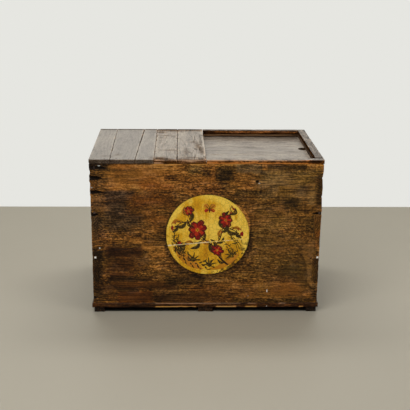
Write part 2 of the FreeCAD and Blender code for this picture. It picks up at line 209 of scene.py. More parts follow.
class Finish:
    """A material under construction, or another node tree."""

    def __init__(self, name="", tree=None):
        self.tree = tree
        if tree is None:
            self.material = bpy.data.materials.new(name)
            self.material.use_nodes = True
            self.tree = self.material.node_tree
            self.shader = self.tree.nodes["Principled BSDF"]

    def node(self, kind, settings=None, sockets=None, output=0):
        """Adds a node, sets it up, then sets or links its sockets. Gives one of its outputs."""
        added = self.tree.nodes.new(kind)
        for key, setting in (settings or {}).items():
            if key == "stops":
                self.set_stops(added.color_ramp, setting)
            else:
                setattr(added, key, setting)
        for key, value in (sockets or {}).items():
            self.feed(added.inputs[key], value)
        return Value(self, added.outputs[output])

    def feed(self, socket, value):
        if isinstance(value, Value):
            self.tree.links.new(value.socket, socket)
        else:
            socket.default_value = value

    @staticmethod
    def set_stops(ramp, stops):
        while len(ramp.elements) < len(stops):
            ramp.elements.new(1.0)
        for element, (place, shade) in zip(ramp.elements, stops):
            element.position = place
            element.color = (*shade, 1)

    def attribute(self, name):
        return self.node("ShaderNodeAttribute", {"attribute_name": name}, output="Fac")

    def here(self):
        """Where a point is on the chest."""
        return self.node("ShaderNodeTexCoord", output="Object")

    def along(self, vector, axis):
        """One axis of a place or a direction."""
        return self.node("ShaderNodeSeparateXYZ", None, {0: vector}, axis)

    def place(self):
        """Where a point is, shifted for each board so that no two boards are alike."""
        here = self.here()
        board = self.attribute("board")
        shift = self.node("ShaderNodeCombineXYZ", None, {0: board * 3.1, 1: board * 5.3, 2: board * 7.7})
        return self.node("ShaderNodeVectorMath", {"operation": "ADD"}, {0: here, 1: shift})

    def noise(self, place, scale, detail=3.0, roughness=0.55, distortion=0.0):
        """Noise from about 0.3 to 0.7 with its own scale on each axis, in lumps per metre."""
        scaled = self.node("ShaderNodeVectorMath", {"operation": "MULTIPLY"}, {0: place, 1: scale})
        sockets = {"Vector": scaled, "Scale": 1.0, "Detail": detail, "Roughness": roughness}
        sockets["Distortion"] = distortion
        return self.node("ShaderNodeTexNoise", None, sockets)

    def mix(self, share, first, second):
        first, second = [c if isinstance(c, Value) else (*c, 1) for c in (first, second)]
        return self.node("ShaderNodeMix", {"data_type": "RGBA"}, {0: share, 6: first, 7: second}, output=2)

    def ramp(self, share, stops):
        return self.node("ShaderNodeValToRGB", {"stops": stops}, {0: share}, output="Color")

    def bump(self, height, depth, strength=1.0):
        return self.node("ShaderNodeBump", None, {"Height": height, "Distance": depth, "Strength": strength})

    def finished(self, **sockets):
        """Sets or links the shader's sockets and gives the material."""
        for key, value in sockets.items():
            self.feed(self.shader.inputs[key.replace("_", " ")], value)
        return self.material


def stretched(grain, along, across):
    """A noise scale that is stretched along the grain."""
    return [along if axis == grain else across for axis in AXES]


Figure = namedtuple("Figure", "hair speck cloud blotch streak lines scar rings")
# each noise in the wood: lumps per metre along and across the grain, detail, roughness, distortion
FIGURE_NOISES = {
    "hair": (22, 250, 4, 0.65),
    "speck": (115, 200, 3, 0.7),
    "cloud": (16, 32, 5, 0.62, 0.9),
    "blotch": (4, 9, 3, 0.55),
    "streak": (4, 70, 3, 0.6),
    "flow": (1.3, 21, 2, 0.5, 0.1),
    "swirl": (3, 42, 2, 0.5, 0.3),
}
FLOW_LINES = 120
RING_SPACING = 7 * MM
SCAR_HALF = 0.0012  # square of half a scar's width, in steps of the noise it follows


def wood_figure(finish, grain):
    """The figure of wood whose fibres run along one axis."""
    place = finish.place()
    noises = {
        name: finish.noise(place, stretched(grain, along, across), *rest)
        for name, (along, across, *rest) in FIGURE_NOISES.items()
    }
    flow, swirl = noises.pop("flow"), noises.pop("swirl") - 0.5
    lines = ((flow * FLOW_LINES + noises["hair"].swing(2)).sine() * 0.5 + 0.5) ** 3
    ring_angle = finish.attribute("ring") * (2 * math.pi / RING_SPACING) + noises["cloud"].swing(7)
    rings = (ring_angle.sine() * 0.5 + 0.5) ** 3
    return Figure(lines=lines, scar=(swirl * swirl).between(SCAR_HALF, 0.0), rings=rings, **noises)


def chest_wood(name, grain, panel=None, relief=0.7, busy=1.0, ringed=0.08, sheen=0.0):
    """Old wood: lacquered, rubbed grey or bare, as the board's attributes tell.

    The front's wood also darkens round the panel, given by its centre and radius. relief is the depth of
    the figure in millimetres. busy, ringed and sheen are the strengths of the fine figure, of the growth
    rings and of the polish on rubbed wood.
    """
    look = bpy.context.scene.chest_colours
    finish = Finish(name)
    figure = wood_figure(finish, grain)
    grime = finish.attribute("grime")
    rubbed = (finish.attribute("rubbed") + figure.cloud.swing(0.4 * busy)).clamped()
    scars = figure.scar * finish.attribute("scar")
    rubbed = rubbed * (1 - scars * 0.5)
    bare = finish.attribute("bare")
    checks = figure.hair.between(0.4, 0.3)
    calm = finish.attribute("calm")
    fine = figure.hair.swing(1.2) + figure.speck.swing(1.9)
    uneven = fine * (figure.blotch * 2.4 - 0.2) + figure.cloud.swing(0.8) - checks * 0.16
    level = (
        0.44
        + finish.attribute("tone") * 0.5
        + uneven * (1 - calm * 0.8) * busy
        + figure.streak.swing(calm * 0.9 + 0.15) * busy
        - (figure.lines - 0.3) * (0.5 - figure.blotch * 0.6) * (1 - calm * 0.85) * busy
        + figure.blotch.swing(0.25)
        - figure.rings * ringed
        - scars * 0.4
        + finish.attribute("edge") * 0.3
        - grime * 0.7
    )
    if panel:
        peeled, shadow = peeled_strip(finish, figure)
        level = level + panel_halo(finish, panel) + peeled * 0.1 - shadow * 0.1
        rubbed = rubbed + peeled * 0.02
    level = level.clamped()
    stops = [
        (0.0, look.lacquer_black),
        (0.22, look.lacquer_dark),
        (0.46, look.lacquer_brown),
        (0.72, look.amber),
        (1.0, look.bare_amber),
    ]
    lacquer = finish.ramp(level, stops)
    warmth = finish.attribute("warmth") + finish.noise(finish.place(), (9, 9, 18), 4).swing(1.6)
    tint = finish.mix(warmth.between(-1.0, 1.35), look.olive, look.russet)
    blend = {"data_type": "RGBA", "blend_type": "COLOR"}
    lacquer = finish.node("ShaderNodeMix", blend, {0: 0.58, 6: lacquer, 7: tint}, 2)
    grey = finish.ramp(level, [(0.1, look.top_dark), (0.45, look.top_grey), (0.95, look.top_pale)])
    raw = finish.ramp(level, [(0.0, look.lacquer_black), (0.45, look.inside_dark), (0.95, look.inside_pale)])
    shade = finish.mix(bare, finish.mix(rubbed, lacquer, grey), raw)
    height = figure.hair * 0.6 + figure.speck * 0.5 + figure.cloud * 0.5 - figure.rings * 0.2 - checks * 0.3
    return finish.finished(
        Base_Color=shade,
        Roughness=(0.38 + figure.speck.swing(0.4) + grime * 0.3 + bare * 0.3).clamped(),
        Specular_IOR_Level=0.0 if sheen else 0.1,
        Coat_Weight=((rubbed - 0.4) * 1.7).clamped() * (1 - bare) * sheen,
        Coat_Roughness=0.34,
        Normal=finish.bump(height, relief * MM, 0.6),
    )


# rings round the panel, in millimetres: how far the centre lies to the right of the panel's and above it, and
# how far past the panel's radius the soft edge starts and ends
CRESCENT = (64, 33, -59, -63)
DARK_LINE = (2, 0, 6, 1)
DARK_BAND = (4, -12, 14, 4)


def panel_halo(finish, panel):
    """What the panel's surround adds to the level: dark rings, and a paler crescent on the right."""
    (centre_x, centre_z), radius = panel

    def ring(right, up, start, end):
        distance = panel_distance(finish, centre_x + right * MM, centre_z + up * MM)
        return distance.between(radius + start * MM, radius + end * MM)

    crescent = ring(*CRESCENT)
    dark = ring(*DARK_LINE) * 0.16 + ring(*DARK_BAND) * 0.18
    return crescent * 0.36 - dark * (1 - crescent)


STRIP_FOOT, STRIP_HEAD, STRIP_INNER, STRIP_OUTER = 54 * MM, 239 * MM, 300 * MM, 381 * MM
STRIP_RISE, STRIP_SPAN = STRIP_HEAD - STRIP_FOOT, 100 * MM
STRIP_EDGE = (  # height above the walls' foot, and X
    (54, 384), (64, 371), (79, 360), (106, 362), (125, 360),
    (151, 354), (170, 346), (185, 332), (208, 340), (231, 360),
)


def peeled_strip(finish, figure):
    """Where lacquer has peeled off beside the right end of the front, and a painted shadow along the thick
    edge it has left.
    """
    across, up = front_place(finish)
    height = (up - WALL_FOOT - STRIP_FOOT) / STRIP_RISE
    stops = [
        ((z * MM - STRIP_FOOT) / STRIP_RISE, [(x * MM - STRIP_INNER) / STRIP_SPAN] * 3) for z, x in STRIP_EDGE
    ]
    edge = finish.ramp(height, stops) * STRIP_SPAN + STRIP_INNER
    wander = figure.hair.swing(14 * MM) + figure.cloud.swing(10 * MM)
    past_edge = across - edge + wander
    inside = height.between(0.0, 0.03) * height.between(1.0, 0.97)
    inside = inside * (across + wander).between(STRIP_OUTER, STRIP_OUTER - 3 * MM)
    peeled = past_edge.between(-1 * MM, 1.5 * MM) * inside
    # painted shadow along the lacquer's thick edge
    shadow = past_edge.between(-16 * MM, -2 * MM) * past_edge.between(1 * MM, -1 * MM) * inside
    return peeled, shadow


def panel_distance(finish, centre_x, centre_z):
    """How far a point of the front is from a centre."""
    across, up = [value - middle for value, middle in zip(front_place(finish), (centre_x, centre_z))]
    return (across * across + up * up) ** 0.5


def front_place(finish):
    """Where a point is along X and Z."""
    here = finish.here()
    return [finish.along(here, axis) for axis in "XZ"]


CRAZING_SCALE = 75.0
FLAKED_CORNER = 135 * MM, 185 * MM  # how far to the right and down the flaking starts, and where it is full


def cracked_ground(panel, joint):
    """Ochre ground of the panel, stained and cracked.

    joint gives the crack's height at X = 0 and its slope.
    """
    look = bpy.context.scene.chest_colours
    finish = Finish("cracked_ground")
    place = finish.here()
    across, up = front_place(finish)
    (centre_x, centre_z), radius = panel
    cloud = finish.noise(place, (16, 16, 9), 5, 0.6, 0.4)
    brushed = finish.noise(place, (90, 90, 9), 3, 0.6)
    speck = finish.noise(place, (240, 240, 240), 3, 0.65)
    low = up.between(centre_z + 40 * MM, centre_z - 120 * MM)
    distance = panel_distance(finish, centre_x, centre_z) + speck.swing(5 * MM)
    pale_rim = distance.between(radius - 30 * MM, radius - 10 * MM)
    mottle = (cloud - 0.42) * 2.6 + brushed.swing(0.9) + speck.swing(0.5)
    stain = (low * 0.42 + mottle - pale_rim * 0.25).clamped()
    ground = finish.ramp(stain, [(0.0, look.ochre), (0.45, look.ochre_mid), (1.0, look.ochre_deep)])
    cells = finish.node(
        "ShaderNodeTexVoronoi",
        {"feature": "DISTANCE_TO_EDGE"},
        {"Vector": place, "Scale": CRAZING_SCALE, "Randomness": 1.0},
    )
    crazing = cells.between(0.06, 0.01) * 0.35
    rim = distance.between(radius - 4 * MM, radius - 1 * MM) * 0.3
    corner = ((across - centre_x) - (up - centre_z)).between(*FLAKED_CORNER)
    flakes = finish.noise(place, (85, 85, 85), 2, 0.6) + speck.swing(0.4)
    flaked = (speck.between(0.66, 0.72) + flakes.between(0.48, 0.53) * corner).clamped()
    soiled = finish.mix((crazing + rim).clamped(), ground, look.lacquer_dark)
    soiled = finish.mix(flaked * 0.8, soiled, look.lacquer_black)
    off_joint = up - across * joint[1] - joint[0]
    half_crack = speck.swing(5 * MM) + brushed.swing(9 * MM) + 1.2 * MM
    half_crack = half_crack - across.between(0, 60 * MM) * 1.2 * MM
    broken = ((off_joint * off_joint) ** 0.5 - half_crack).between(0.6 * MM, -0.6 * MM)
    shade = finish.mix(broken * 0.85, soiled, look.gesso)
    height = brushed * 0.3 + speck * 0.4 - crazing - broken
    return finish.finished(
        Base_Color=shade,
        Roughness=0.42 + stain * 0.2,
        Specular_IOR_Level=0.2,
        Normal=finish.bump(height, 0.3 * MM, 0.5),
    )


def paint(name, thin, thick, wear):
    """Brushed pigment, thinner at one end of a stroke, with some of the ground showing through."""
    look = bpy.context.scene.chest_colours
    finish = Finish(name)
    place = finish.here()
    cloud = finish.noise(place, (60, 60, 60), 4, 0.6)
    speck = finish.noise(place, (300, 300, 300), 3, 0.65)
    shade = finish.mix((finish.attribute("tone") + cloud.swing(1.2)).clamped(), thin, thick)
    lost = (speck + cloud.swing(0.5) + wear).between(0.62, 0.7)
    shade = finish.mix(lost * 0.8, shade, look.ochre_mid)
    return finish.finished(
        Base_Color=shade,
        Roughness=0.45,
        Specular_IOR_Level=0.2,
        Normal=finish.bump(cloud + speck, 0.2 * MM, 0.4),
    )


def forged_iron():
    """Rusted iron, rubbed bright in places."""
    look = bpy.context.scene.chest_colours
    finish = Finish("forged_iron")
    place = finish.here()
    scale = finish.noise(place, (260, 260, 260), 4, 0.6)
    pits = finish.noise(place, (900, 900, 900), 2)
    bright = (finish.attribute("bright") + scale.swing(1.2)).between(0.35, 0.75)
    return finish.finished(
        Base_Color=finish.mix(bright, look.rust, look.iron),
        Metallic=bright * 0.35,
        Roughness=0.8 - bright * 0.4,
        Normal=finish.bump(pits + scale, 0.3 * MM, 0.6),
    )


def split_bamboo():
    """Bamboo pegs with their fibres upright."""
    look = bpy.context.scene.chest_colours
    finish = Finish("split_bamboo")
    place = finish.here()
    fibres = finish.noise(place, (900, 900, 30), 3)
    shade = finish.mix(fibres.between(0.3, 0.7), [c * 0.55 for c in look.bamboo], look.bamboo)
    return finish.finished(Base_Color=shade, Roughness=0.5, Normal=finish.bump(fibres, 0.2 * MM))


def ruffle(points, lumps_per_metre, seed):
    """Smooth noise from -1 to 1 at each point."""
    shift = Vector((seed * 1.37, seed * 2.11, seed * 0.73))
    return np.array([noise.noise(Vector(point) * lumps_per_metre + shift) for point in points])


def rise(value, start, end):
    """0 up to the start, 1 from the end on, straight between them. It runs down where start is above end."""
    return np.clip((value - start) / (end - start), 0, 1)


def hump(value, middle, width):
    """1 at the middle, falling off smoothly on both sides."""
    return np.exp(-(((value - middle) / width) ** 2))


def facing(share):
    """How far a surface faces a direction, told by the normal's share along it."""
    return np.clip(share * 1.5 - 0.3, 0, 1)


TOUCHING = 0.001 * MM
SAME_POINT = 0.002 * MM
SHARP_ANGLE = math.radians(50)


def node_work(node):
    """A node's solid, ready to be worked on."""
    work = bmesh.new()
    work.from_mesh(frame["nodes"][node].data)
    bmesh.ops.remove_doubles(work, verts=work.verts, dist=TOUCHING)
    return work


def points_of(verts):
    return np.array([vert.co for vert in verts])


def work_box(work):
    corners = points_of(work.verts)
    return corners.min(0), corners.max(0)


def move_points(work, places):
    for vert, place in zip(work.verts, places):
        vert.co = place


def split_at(work, start, direction):
    """Adds the points where a plane meets some work."""
    everything = work.verts[:] + work.edges[:] + work.faces[:]
    bmesh.ops.bisect_plane(work, geom=everything, plane_co=start, plane_no=direction, dist=TOUCHING)


def merge_flat(work):
    """Takes away the lines that cross flat faces."""
    bmesh.ops.dissolve_limit(work, angle_limit=0.01, verts=work.verts, edges=work.edges)


def close_holes(work):
    bmesh.ops.holes_fill(work, edges=[edge for edge in work.edges if edge.is_boundary], sides=0)


def round_edges(work, edges, size):
    bmesh.ops.bevel(
        work, geom=edges, offset=size, segments=2, profile=0.5, affect="EDGES", clamp_overlap=True
    )


def finished_mesh(work, name, smooth=True):
    """Turns finished work into a mesh, smooth between its sharp edges."""
    mesh = bpy.data.meshes.new(name)
    work.to_mesh(mesh)
    work.free()
    if smooth:
        mesh.shade_smooth()
        mesh.set_sharp_from_angle(angle=SHARP_ANGLE)
    return mesh


def put_in_scene(name, data):
    item = bpy.data.objects.new(name, data)
    bpy.context.scene.collection.objects.link(item)
    return item


def fastener_boxes():
    """The box of each nail and peg, which the boards have holes for."""
    boxes = []
    for name in frame["nodes"]:
        if name.endswith(("_nails", "_pegs")):
            work = node_work(name)
            for solid in loose_groups(work):
                corners = points_of(solid)
                boxes.append((corners.min(0), corners.max(0)))
            work.free()
    return boxes


def loose_groups(work):
    """The points of each separate solid."""
    groups = []
    waiting = set(work.verts)
    while waiting:
        group = [waiting.pop()]
        for vert in group:
            for edge in vert.link_edges:
                other = edge.other_vert(vert)
                if other in waiting:
                    waiting.remove(other)
                    group.append(other)
        groups.append(group)
    return groups


FASTENERS = fastener_boxes()
HOLE_SLACK = 0.3 * MM


def plain_board(node):
    """A board's solid without the holes for its nails and pegs."""
    work = node_work(node)
    inside = []
    for face in work.faces:
        corners = points_of(face.verts)
        low, high = corners.min(0) + HOLE_SLACK, corners.max(0) - HOLE_SLACK
        if any((low >= box[0]).all() and (high <= box[1]).all() for box in FASTENERS):
            inside.append(face)
    bmesh.ops.delete(work, geom=inside, context="FACES")
    close_holes(work)
    merge_flat(work)
    return work


CUTTER_START = 2 * MM  # how far before a board's face a cutter starts


def cut_away(work, cutters):
    """Takes prisms out of a board. Each has its corners along X and Z, and runs in from the front face."""
    low, high = work_box(work)
    tool_work = bmesh.new()
    for corners, depth in cutters:
        flat = np.array(corners)
        if (flat.max(0) < low[[0, 2]]).any() or (flat.min(0) > high[[0, 2]]).any():
            continue
        face = tool_work.faces.new([tool_work.verts.new((x, low[1] - CUTTER_START, z)) for x, z in corners])
        for grown in bmesh.ops.extrude_face_region(tool_work, geom=[face])["geom"]:
            if isinstance(grown, bmesh.types.BMVert):
                grown.co.y = low[1] + depth
    bmesh.ops.recalc_face_normals(tool_work, faces=tool_work.faces)
    tool = put_in_scene("tool", finished_mesh(tool_work, "tool", smooth=False))
    board = put_in_scene("board", bpy.data.meshes.new("board"))
    work.to_mesh(board.data)
    if tool.data.polygons:
        difference = board.modifiers.new("cut", "BOOLEAN")
        difference.operation = "DIFFERENCE"
        difference.solver = "EXACT"
        difference.object = tool
        bpy.context.view_layer.update()
        result = bpy.data.meshes.new_from_object(board.evaluated_get(bpy.context.evaluated_depsgraph_get()))
        work.clear()
        work.from_mesh(result)
        bpy.data.meshes.remove(result)
    for item in (board, tool):
        bpy.data.meshes.remove(item.data)


END_MARGINS = np.array([3.0, 7.0]) * MM
THIN_SIDE = 20 * MM


def slice_up(work, spacing):
    """Adds points across a board's faces, closer together near its ends."""
    low, high = work_box(work)
    for axis in range(3):
        places = np.concatenate([low[axis] + END_MARGINS, high[axis] - END_MARGINS])
        if high[axis] - low[axis] > THIN_SIDE:
            middle = np.arange(low[axis] + spacing * 1.5, high[axis] - spacing * 1.4, spacing)
            places = np.concatenate([middle, places])
        direction = Vector([float(index == axis) for index in range(3)])
        for place in places:
            split_at(work, direction * float(place), direction)
    bmesh.ops.remove_doubles(work, verts=work.verts, dist=SAME_POINT)


def edge_distances(points, edges):
    """How far each point is from the nearest of some straight edges."""
    nearest = np.full(len(points), 1.0)
    for start, end in edges:
        run = end - start
        share = np.clip((points - start) @ run / (run @ run), 0, 1)
        nearest = np.minimum(nearest, np.linalg.norm(points - start - share[:, None] * run, axis=1))
    return nearest


def write_attributes(mesh, values):
    for name, numbers in values.items():
        attribute = mesh.attributes.new(name, "FLOAT", "POINT")
        attribute.data.foreach_set("value", np.broadcast_to(numbers, len(mesh.vertices)).astype(np.float32))


def new_piece(name, mesh, material, node, in_place=True):
    """Shows a mesh with a material on a node's body, in the node's place or beside it."""
    piece = put_in_scene(name, mesh)
    mesh.materials.clear()
    mesh.materials.append(material)
    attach(piece, body_of(node))
    if in_place:
        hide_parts(node)


def body_of(node):
    bodies = frame["record"]["behaviour"]["bodies"]
    return next(body for body, nodes in bodies.items() if node in nodes)


SHARP_EDGE = 0.5  # radians between two faces
CHIP_WIDTH, RUBBED_WIDTH = 4 * MM, 5 * MM
LEAST_DEPTH = 0.05 * MM
PLAIN_LOOK = ("grime", "tone", "warmth", "rubbed", "bare", "calm", "scar")


def aged_board(
    node, grain, material, seed, wear, chips=1.0, arris=1.0, spacing=1.0, outside=None, cutters=()
):
    """Puts a worn board in the place of a node.

    wear gives attributes from the points and their normals. chips, arris and spacing are shares of the
    settings. Where there is an outside box, only edges on two of its faces are worn.
    """
    look = bpy.context.scene.chest_wear
    work = plain_board(node)
    if cutters:
        cut_away(work, cutters)
    sharp = [edge for edge in work.edges if edge.is_manifold and edge.calc_face_angle() > SHARP_EDGE]
    lines = [points_of(edge.verts) for edge in sharp]
    worn_lines = [line for line in lines if outside is None or on_corner(line, outside)]
    round_edges(work, sharp, look.arris * arris)
    slice_up(work, look.slice * spacing)
    work.normal_update()
    points = points_of(work.verts)
    normals = np.array([vert.normal for vert in work.verts])
    distance = edge_distances(points, worn_lines)
    worn = wear(points, normals)
    chip_noise = np.clip(ruffle(points, 55, seed) * 1.6 - 0.25, 0, 1) * worn.pop("chip", 1.0)
    chip_depth = chips * look.chip * chip_noise * hump(distance, 0, CHIP_WIDTH)
    ripple = look.ripple * ruffle(points * stretched(grain, 0.35, 1.0), 16, seed + 3)
    depth = np.clip(look.shrink + ripple, LEAST_DEPTH, None) + chip_depth
    moved = points - normals * depth[:, None]
    moved[:, 0] += end_swell(points) + joint_spread(points)
    move_points(work, np.clip(moved, *CAD_BOX))
    mesh = finished_mesh(work, f"aged_{node}")
    edge_wear = hump(distance, 0, RUBBED_WIDTH) * np.clip(0.5 + ruffle(points, 40, seed + 7), 0, 1.2)
    values = {"board": seed * 0.37, "edge": edge_wear, "ring": ring_distance(points, grain, seed)}
    values.update(dict.fromkeys(PLAIN_LOOK, 0.0))
    values.update(worn)
    write_attributes(mesh, values)
    new_piece(f"aged_{node}", mesh, material, node)


LEFT_SWELL = (  # height above the walls' foot, and how far the end lies outside its plan there
    (0, -1.5), (169, -1.5), (269, -0.5), (314, 0.0), (328, 1.5), (344, 0.0), (394, 0.5), (408, 3.0),
    (424, 1.0), (439, 0.5), (449, 4.0), (465, 4.0), (473, 0.5), (482, 0.5), (490, 4.0), (509, 4.0),
)
RIGHT_SWELL = (
    (0, -2.0), (169, -0.5), (269, 0.0), (333, 2.0), (389, 0.0),
    (424, 2.0), (459, -0.5), (485, 3.0), (509, 2.5),
)


def end_swell(points):
    """How far the board ends at the front corners lie outside their plan, along X."""
    x, y, height = place_on_walls(points)
    near_end = rise(np.abs(x), 377, 399) * rise(y, -160, -240)
    on_wall = rise(height, WALL_HEIGHT - 0.5, WALL_HEIGHT - 2.5) * rise(height, 0.5, 2.5)
    left, right = [np.interp(height, *np.transpose(swell)) for swell in (LEFT_SWELL, RIGHT_SWELL)]
    return near_end * on_wall * np.where(x < 0, -left, right) * MM


WIDE_JOINT, WIDE_JOINT_LEAN, WIDE_JOINT_GAP = -238.5, 16.0 / 538.0, 1.1


def joint_spread(points):
    """How far the edges of the widest joint between the top planks have shrunk apart, along X."""
    x, y, height = place_on_walls(points)
    off_joint = x - WIDE_JOINT - WIDE_JOINT_LEAN * y
    beside = hump(off_joint, 0, 4) * rise(y, -60, 0) * (height > WALL_HEIGHT - 1)
    return np.sign(off_joint) * WIDE_JOINT_GAP * beside * MM


ON_FACE = 1.5 * MM


def on_corner(line, box):
    """Whether a line lies on two faces of a box."""
    middle = (line[0] + line[1]) / 2
    return sum(np.abs(middle - face) < ON_FACE for face in box).sum() > 1


def ring_distance(points, grain, seed):
    """How far each point of a board is from the middle of the trunk it was sawn from."""
    low, high = points.min(0), points.max(0)
    across = [index for index, axis in enumerate(AXES) if axis != grain]
    thin = min(across, key=lambda index: high[index] - low[index])
    wide = next(index for index in across if index != thin)
    sway = ruffle(points * stretched(grain, 1.0, 0.4), 3.2, seed + 11) * 16 * MM
    depth = points[:, thin] - low[thin] + 55 * MM
    offset = points[:, wide] - (low[wide] + high[wide]) / 2 - math.sin(seed) * 40 * MM
    return np.hypot(depth, offset) + sway


def box_of(*nodes):
    """The corners of the box round some nodes."""
    boxes = [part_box(node) for node in nodes]
    return np.min([box[0] for box in boxes], 0), np.max([box[1] for box in boxes], 0)


BODY_BOX = box_of("front_board_upper", "front_board_lower", "back_board_upper", "back_board_lower")
WALL_FOOT = BODY_BOX[0][2]
WALL_HEIGHT = (BODY_BOX[1][2] - WALL_FOOT) / MM


def place_on_walls(points):
    """X, Y and the height above the walls' foot, in millimetres."""
    return ((points - (0, 0, WALL_FOOT)) / MM).T


def front_point(x, height):
    """X and Z of a place on the front that is given in millimetres, its height above the walls' foot."""
    return x * MM, WALL_FOOT + height * MM


# sides along X and heights above the walls' foot in millimetres, then what the lacquer looks like there
Patch = namedtuple("Patch", "left right low high tone warmth softness calm ash", defaults=(0.0, 0.0))
FRONT_PATCHES = (
    # upper left: amber under rubbed lacquer, with a grimy corner
    Patch(-404, -90, 412, 514, 0.54, 0.1, 0.25, 0.35),
    Patch(-330, -215, 415, 441, 0.64, 0.1, 0.4, 0.4),
    Patch(-300, -230, 455, 469, 0.6, 0.1, 0.6, 0.4),
    Patch(-230, -110, 412, 439, 0.44, 0.6, 0.5, 0.2),
    Patch(-404, -345, 397, 514, 0.0, 0.1, 0.35),
    Patch(-404, -338, 487, 514, -0.5, 0.0, 0.4),
    # middle left: thick lacquer, red where it is thinner
    Patch(-350, -245, 379, 413, -0.42, 0.2, 0.25, 0.3, 0.14),
    Patch(-345, -278, 269, 381, -0.3, 0.2, 0.5, 0.4, 0.14),
    Patch(-270, -110, 349, 409, 0.04, 0.7, 0.5, 0.3),
    Patch(-245, -188, 363, 375, 0.3, 0.8, 0.5, 0.3),
    Patch(-400, -352, 339, 397, 0.02, 0.0, 0.4, 0.0, 0.05),
    Patch(-404, -352, 269, 321, -0.36, -0.2, 0.5, 0.0, 0.1),
    Patch(-340, -225, 287, 327, -0.3, 0.1, 0.6, 0.3, 0.08),
    Patch(-305, -283, 267, 283, -0.7, -0.2, 0.5),
    Patch(-208, -146, 237, 361, 0.27, 0.2, 0.5),
    Patch(-398, -345, 231, 271, -0.08, 0.1, 0.6, 0.0, 0.05),
    Patch(-300, -215, 219, 244, 0.2, 0.0, 0.6),
    Patch(-270, -220, 223, 240, 0.6, 0.0, 0.5, 0.3),
    # lower left: rubbed streaks below the joint, a black edge and a russet foot
    Patch(-228, -150, 200, 213, 0.75, 0.1, 0.35, 0.5),
    Patch(-200, -140, 169, 195, 0.5, 0.1, 0.5, 0.3),
    Patch(-345, -228, 172, 207, -0.42, 0.9, 0.4, 0.7),
    Patch(-345, -250, 119, 172, -0.3, 0.6, 0.6, 0.7),
    Patch(-250, -205, 121, 172, -0.02, 0.2, 0.6, 0.5),
    Patch(-205, -152, 124, 172, 0.22, 0.0, 0.6, 0.2),
    Patch(-185, -160, 127, 151, 0.5, 0.0, 0.5),
    Patch(-404, -362, 29, 194, -0.62, -0.1, 0.3),
    Patch(-345, -190, 81, 101, -0.5, 0.2, 0.4, 0.8),
    Patch(-340, -255, 101, 112, -0.1, 1.0, 0.5, 0.9),
    Patch(-335, -110, 53, 81, -0.16, 0.7, 0.5, 0.9),
    Patch(-366, -308, 7, 61, -0.08, 0.4, 0.6, 0.5),
    Patch(-404, -368, -1, 31, -0.3, 0.2, 0.4),
    Patch(-305, -190, 1, 43, 0.0, 2.6, 0.16, 1.0),
    Patch(-315, -240, 43, 53, -0.55, 0.0, 0.4, 0.8),
    Patch(-188, -100, -1, 31, -0.4, 0.1, 0.5, 0.6),
    # above and below the panel
    Patch(-150, 0, 435, 489, 0.52, 0.2, 0.4),
    Patch(-100, 36, 399, 439, 0.34, 0.3, 0.5),
    Patch(0, 48, 397, 437, 0.06, 0.4, 0.5),
    Patch(0, 36, 439, 504, 0.34, 0.3, 0.5),
    Patch(-62, -18, 472, 505, 0.05, -0.6, 0.5),
    Patch(-14, 8, 467, 491, -0.35, 0.0, 0.5),
    Patch(-143, -103, 451, 464, -0.2, 0.4, 0.4),
    Patch(36, 94, 448, 491, -0.6, -0.5, 0.35),
    Patch(-140, 10, 69, 101, -0.38, 0.0, 0.5, 0.3),
    Patch(-100, 100, -1, 35, -0.2, 0.3, 0.5, 0.5),
    Patch(-60, 90, 35, 66, 0.05, 0.2, 0.6, 0.4),
    Patch(40, 120, 51, 75, 0.34, 0.1, 0.5, 0.3),
    # upper right: amber round a knot hole, a grey repair and olive lacquer
    Patch(95, 190, 409, 475, 0.58, 0.0, 0.5),
    Patch(140, 172, 424, 474, 0.28, 0.1, 0.6),
    Patch(100, 188, 477, 509, 0.1, -0.5, 0.3, 0.3, 0.12),
    Patch(100, 192, 397, 415, -0.31, -0.4, 0.4),
    Patch(192, 350, 389, 487, 0.14, -0.6, 0.6, 0.2, 0.1),
    Patch(200, 306, 431, 486, 0.42, -0.8, 0.6, 0.2, 0.1),
    Patch(240, 306, 397, 433, 0.28, -0.5, 0.6),
    Patch(192, 207, 485, 505, 0.64, 0.2, 0.5),
    Patch(210, 350, 489, 506, -0.31, -0.3, 0.4, 0.3),
    Patch(345, 400, 495, 507, 0.44, 0.0, 0.5),
    Patch(300, 366, 437, 481, 0.24, -1.0, 0.6),
    Patch(354, 382, 363, 439, 0.4, -0.5, 0.35, 0.4, 0.06),
    Patch(381, 404, 361, 474, -0.4, -0.2, 0.4, 0.4),
    # middle right: a dark cloud and amber streaks
    Patch(268, 318, 350, 381, -0.34, -0.2, 0.5, 0.3),
    Patch(150, 250, 329, 371, 0.09, 0.1, 0.6),
    Patch(300, 385, 275, 343, 0.16, -0.2, 0.6),
    Patch(180, 300, 259, 345, 0.24, -0.4, 0.7),
    Patch(262, 306, 262, 273, 0.59, 0.1, 0.5),
    Patch(170, 330, 223, 259, 0.06, -0.4, 0.6),
    Patch(384, 398, 241, 271, 0.44, 0.9, 0.5),
    Patch(384, 394, 205, 231, 0.44, 0.9, 0.5),
    # lower right: a peeled band, a dark edge and a lighter foot
    Patch(180, 338, 149, 231, 0.14, -0.4, 0.5, 0.4),
    Patch(240, 306, 197, 239, 0.24, -0.2, 0.6, 0.3),
    Patch(310, 364, 57, 169, -0.14, 0.1, 0.4, 0.8),
    Patch(380, 404, 9, 169, -0.42, 0.0, 0.4),
    Patch(330, 384, 64, 234, 0.1, -0.2, 0.4, 0.8),
    Patch(264, 342, 99, 141, -0.1, -0.4, 0.6, 0.7),
    Patch(0, 200, 75, 119, 0.36, -0.2, 0.6),
    Patch(100, 342, 19, 55, 0.22, 0.2, 0.4, 0.6),
    Patch(190, 300, 15, 53, 0.4, 0.2, 0.5, 0.6),
    Patch(100, 335, 53, 77, 0.42, 0.0, 0.3, 0.5),
    Patch(100, 384, -1, 17, -0.21, -0.1, 0.4, 0.4),
    Patch(345, 366, 23, 45, 0.34, 0.2, 0.5),
)
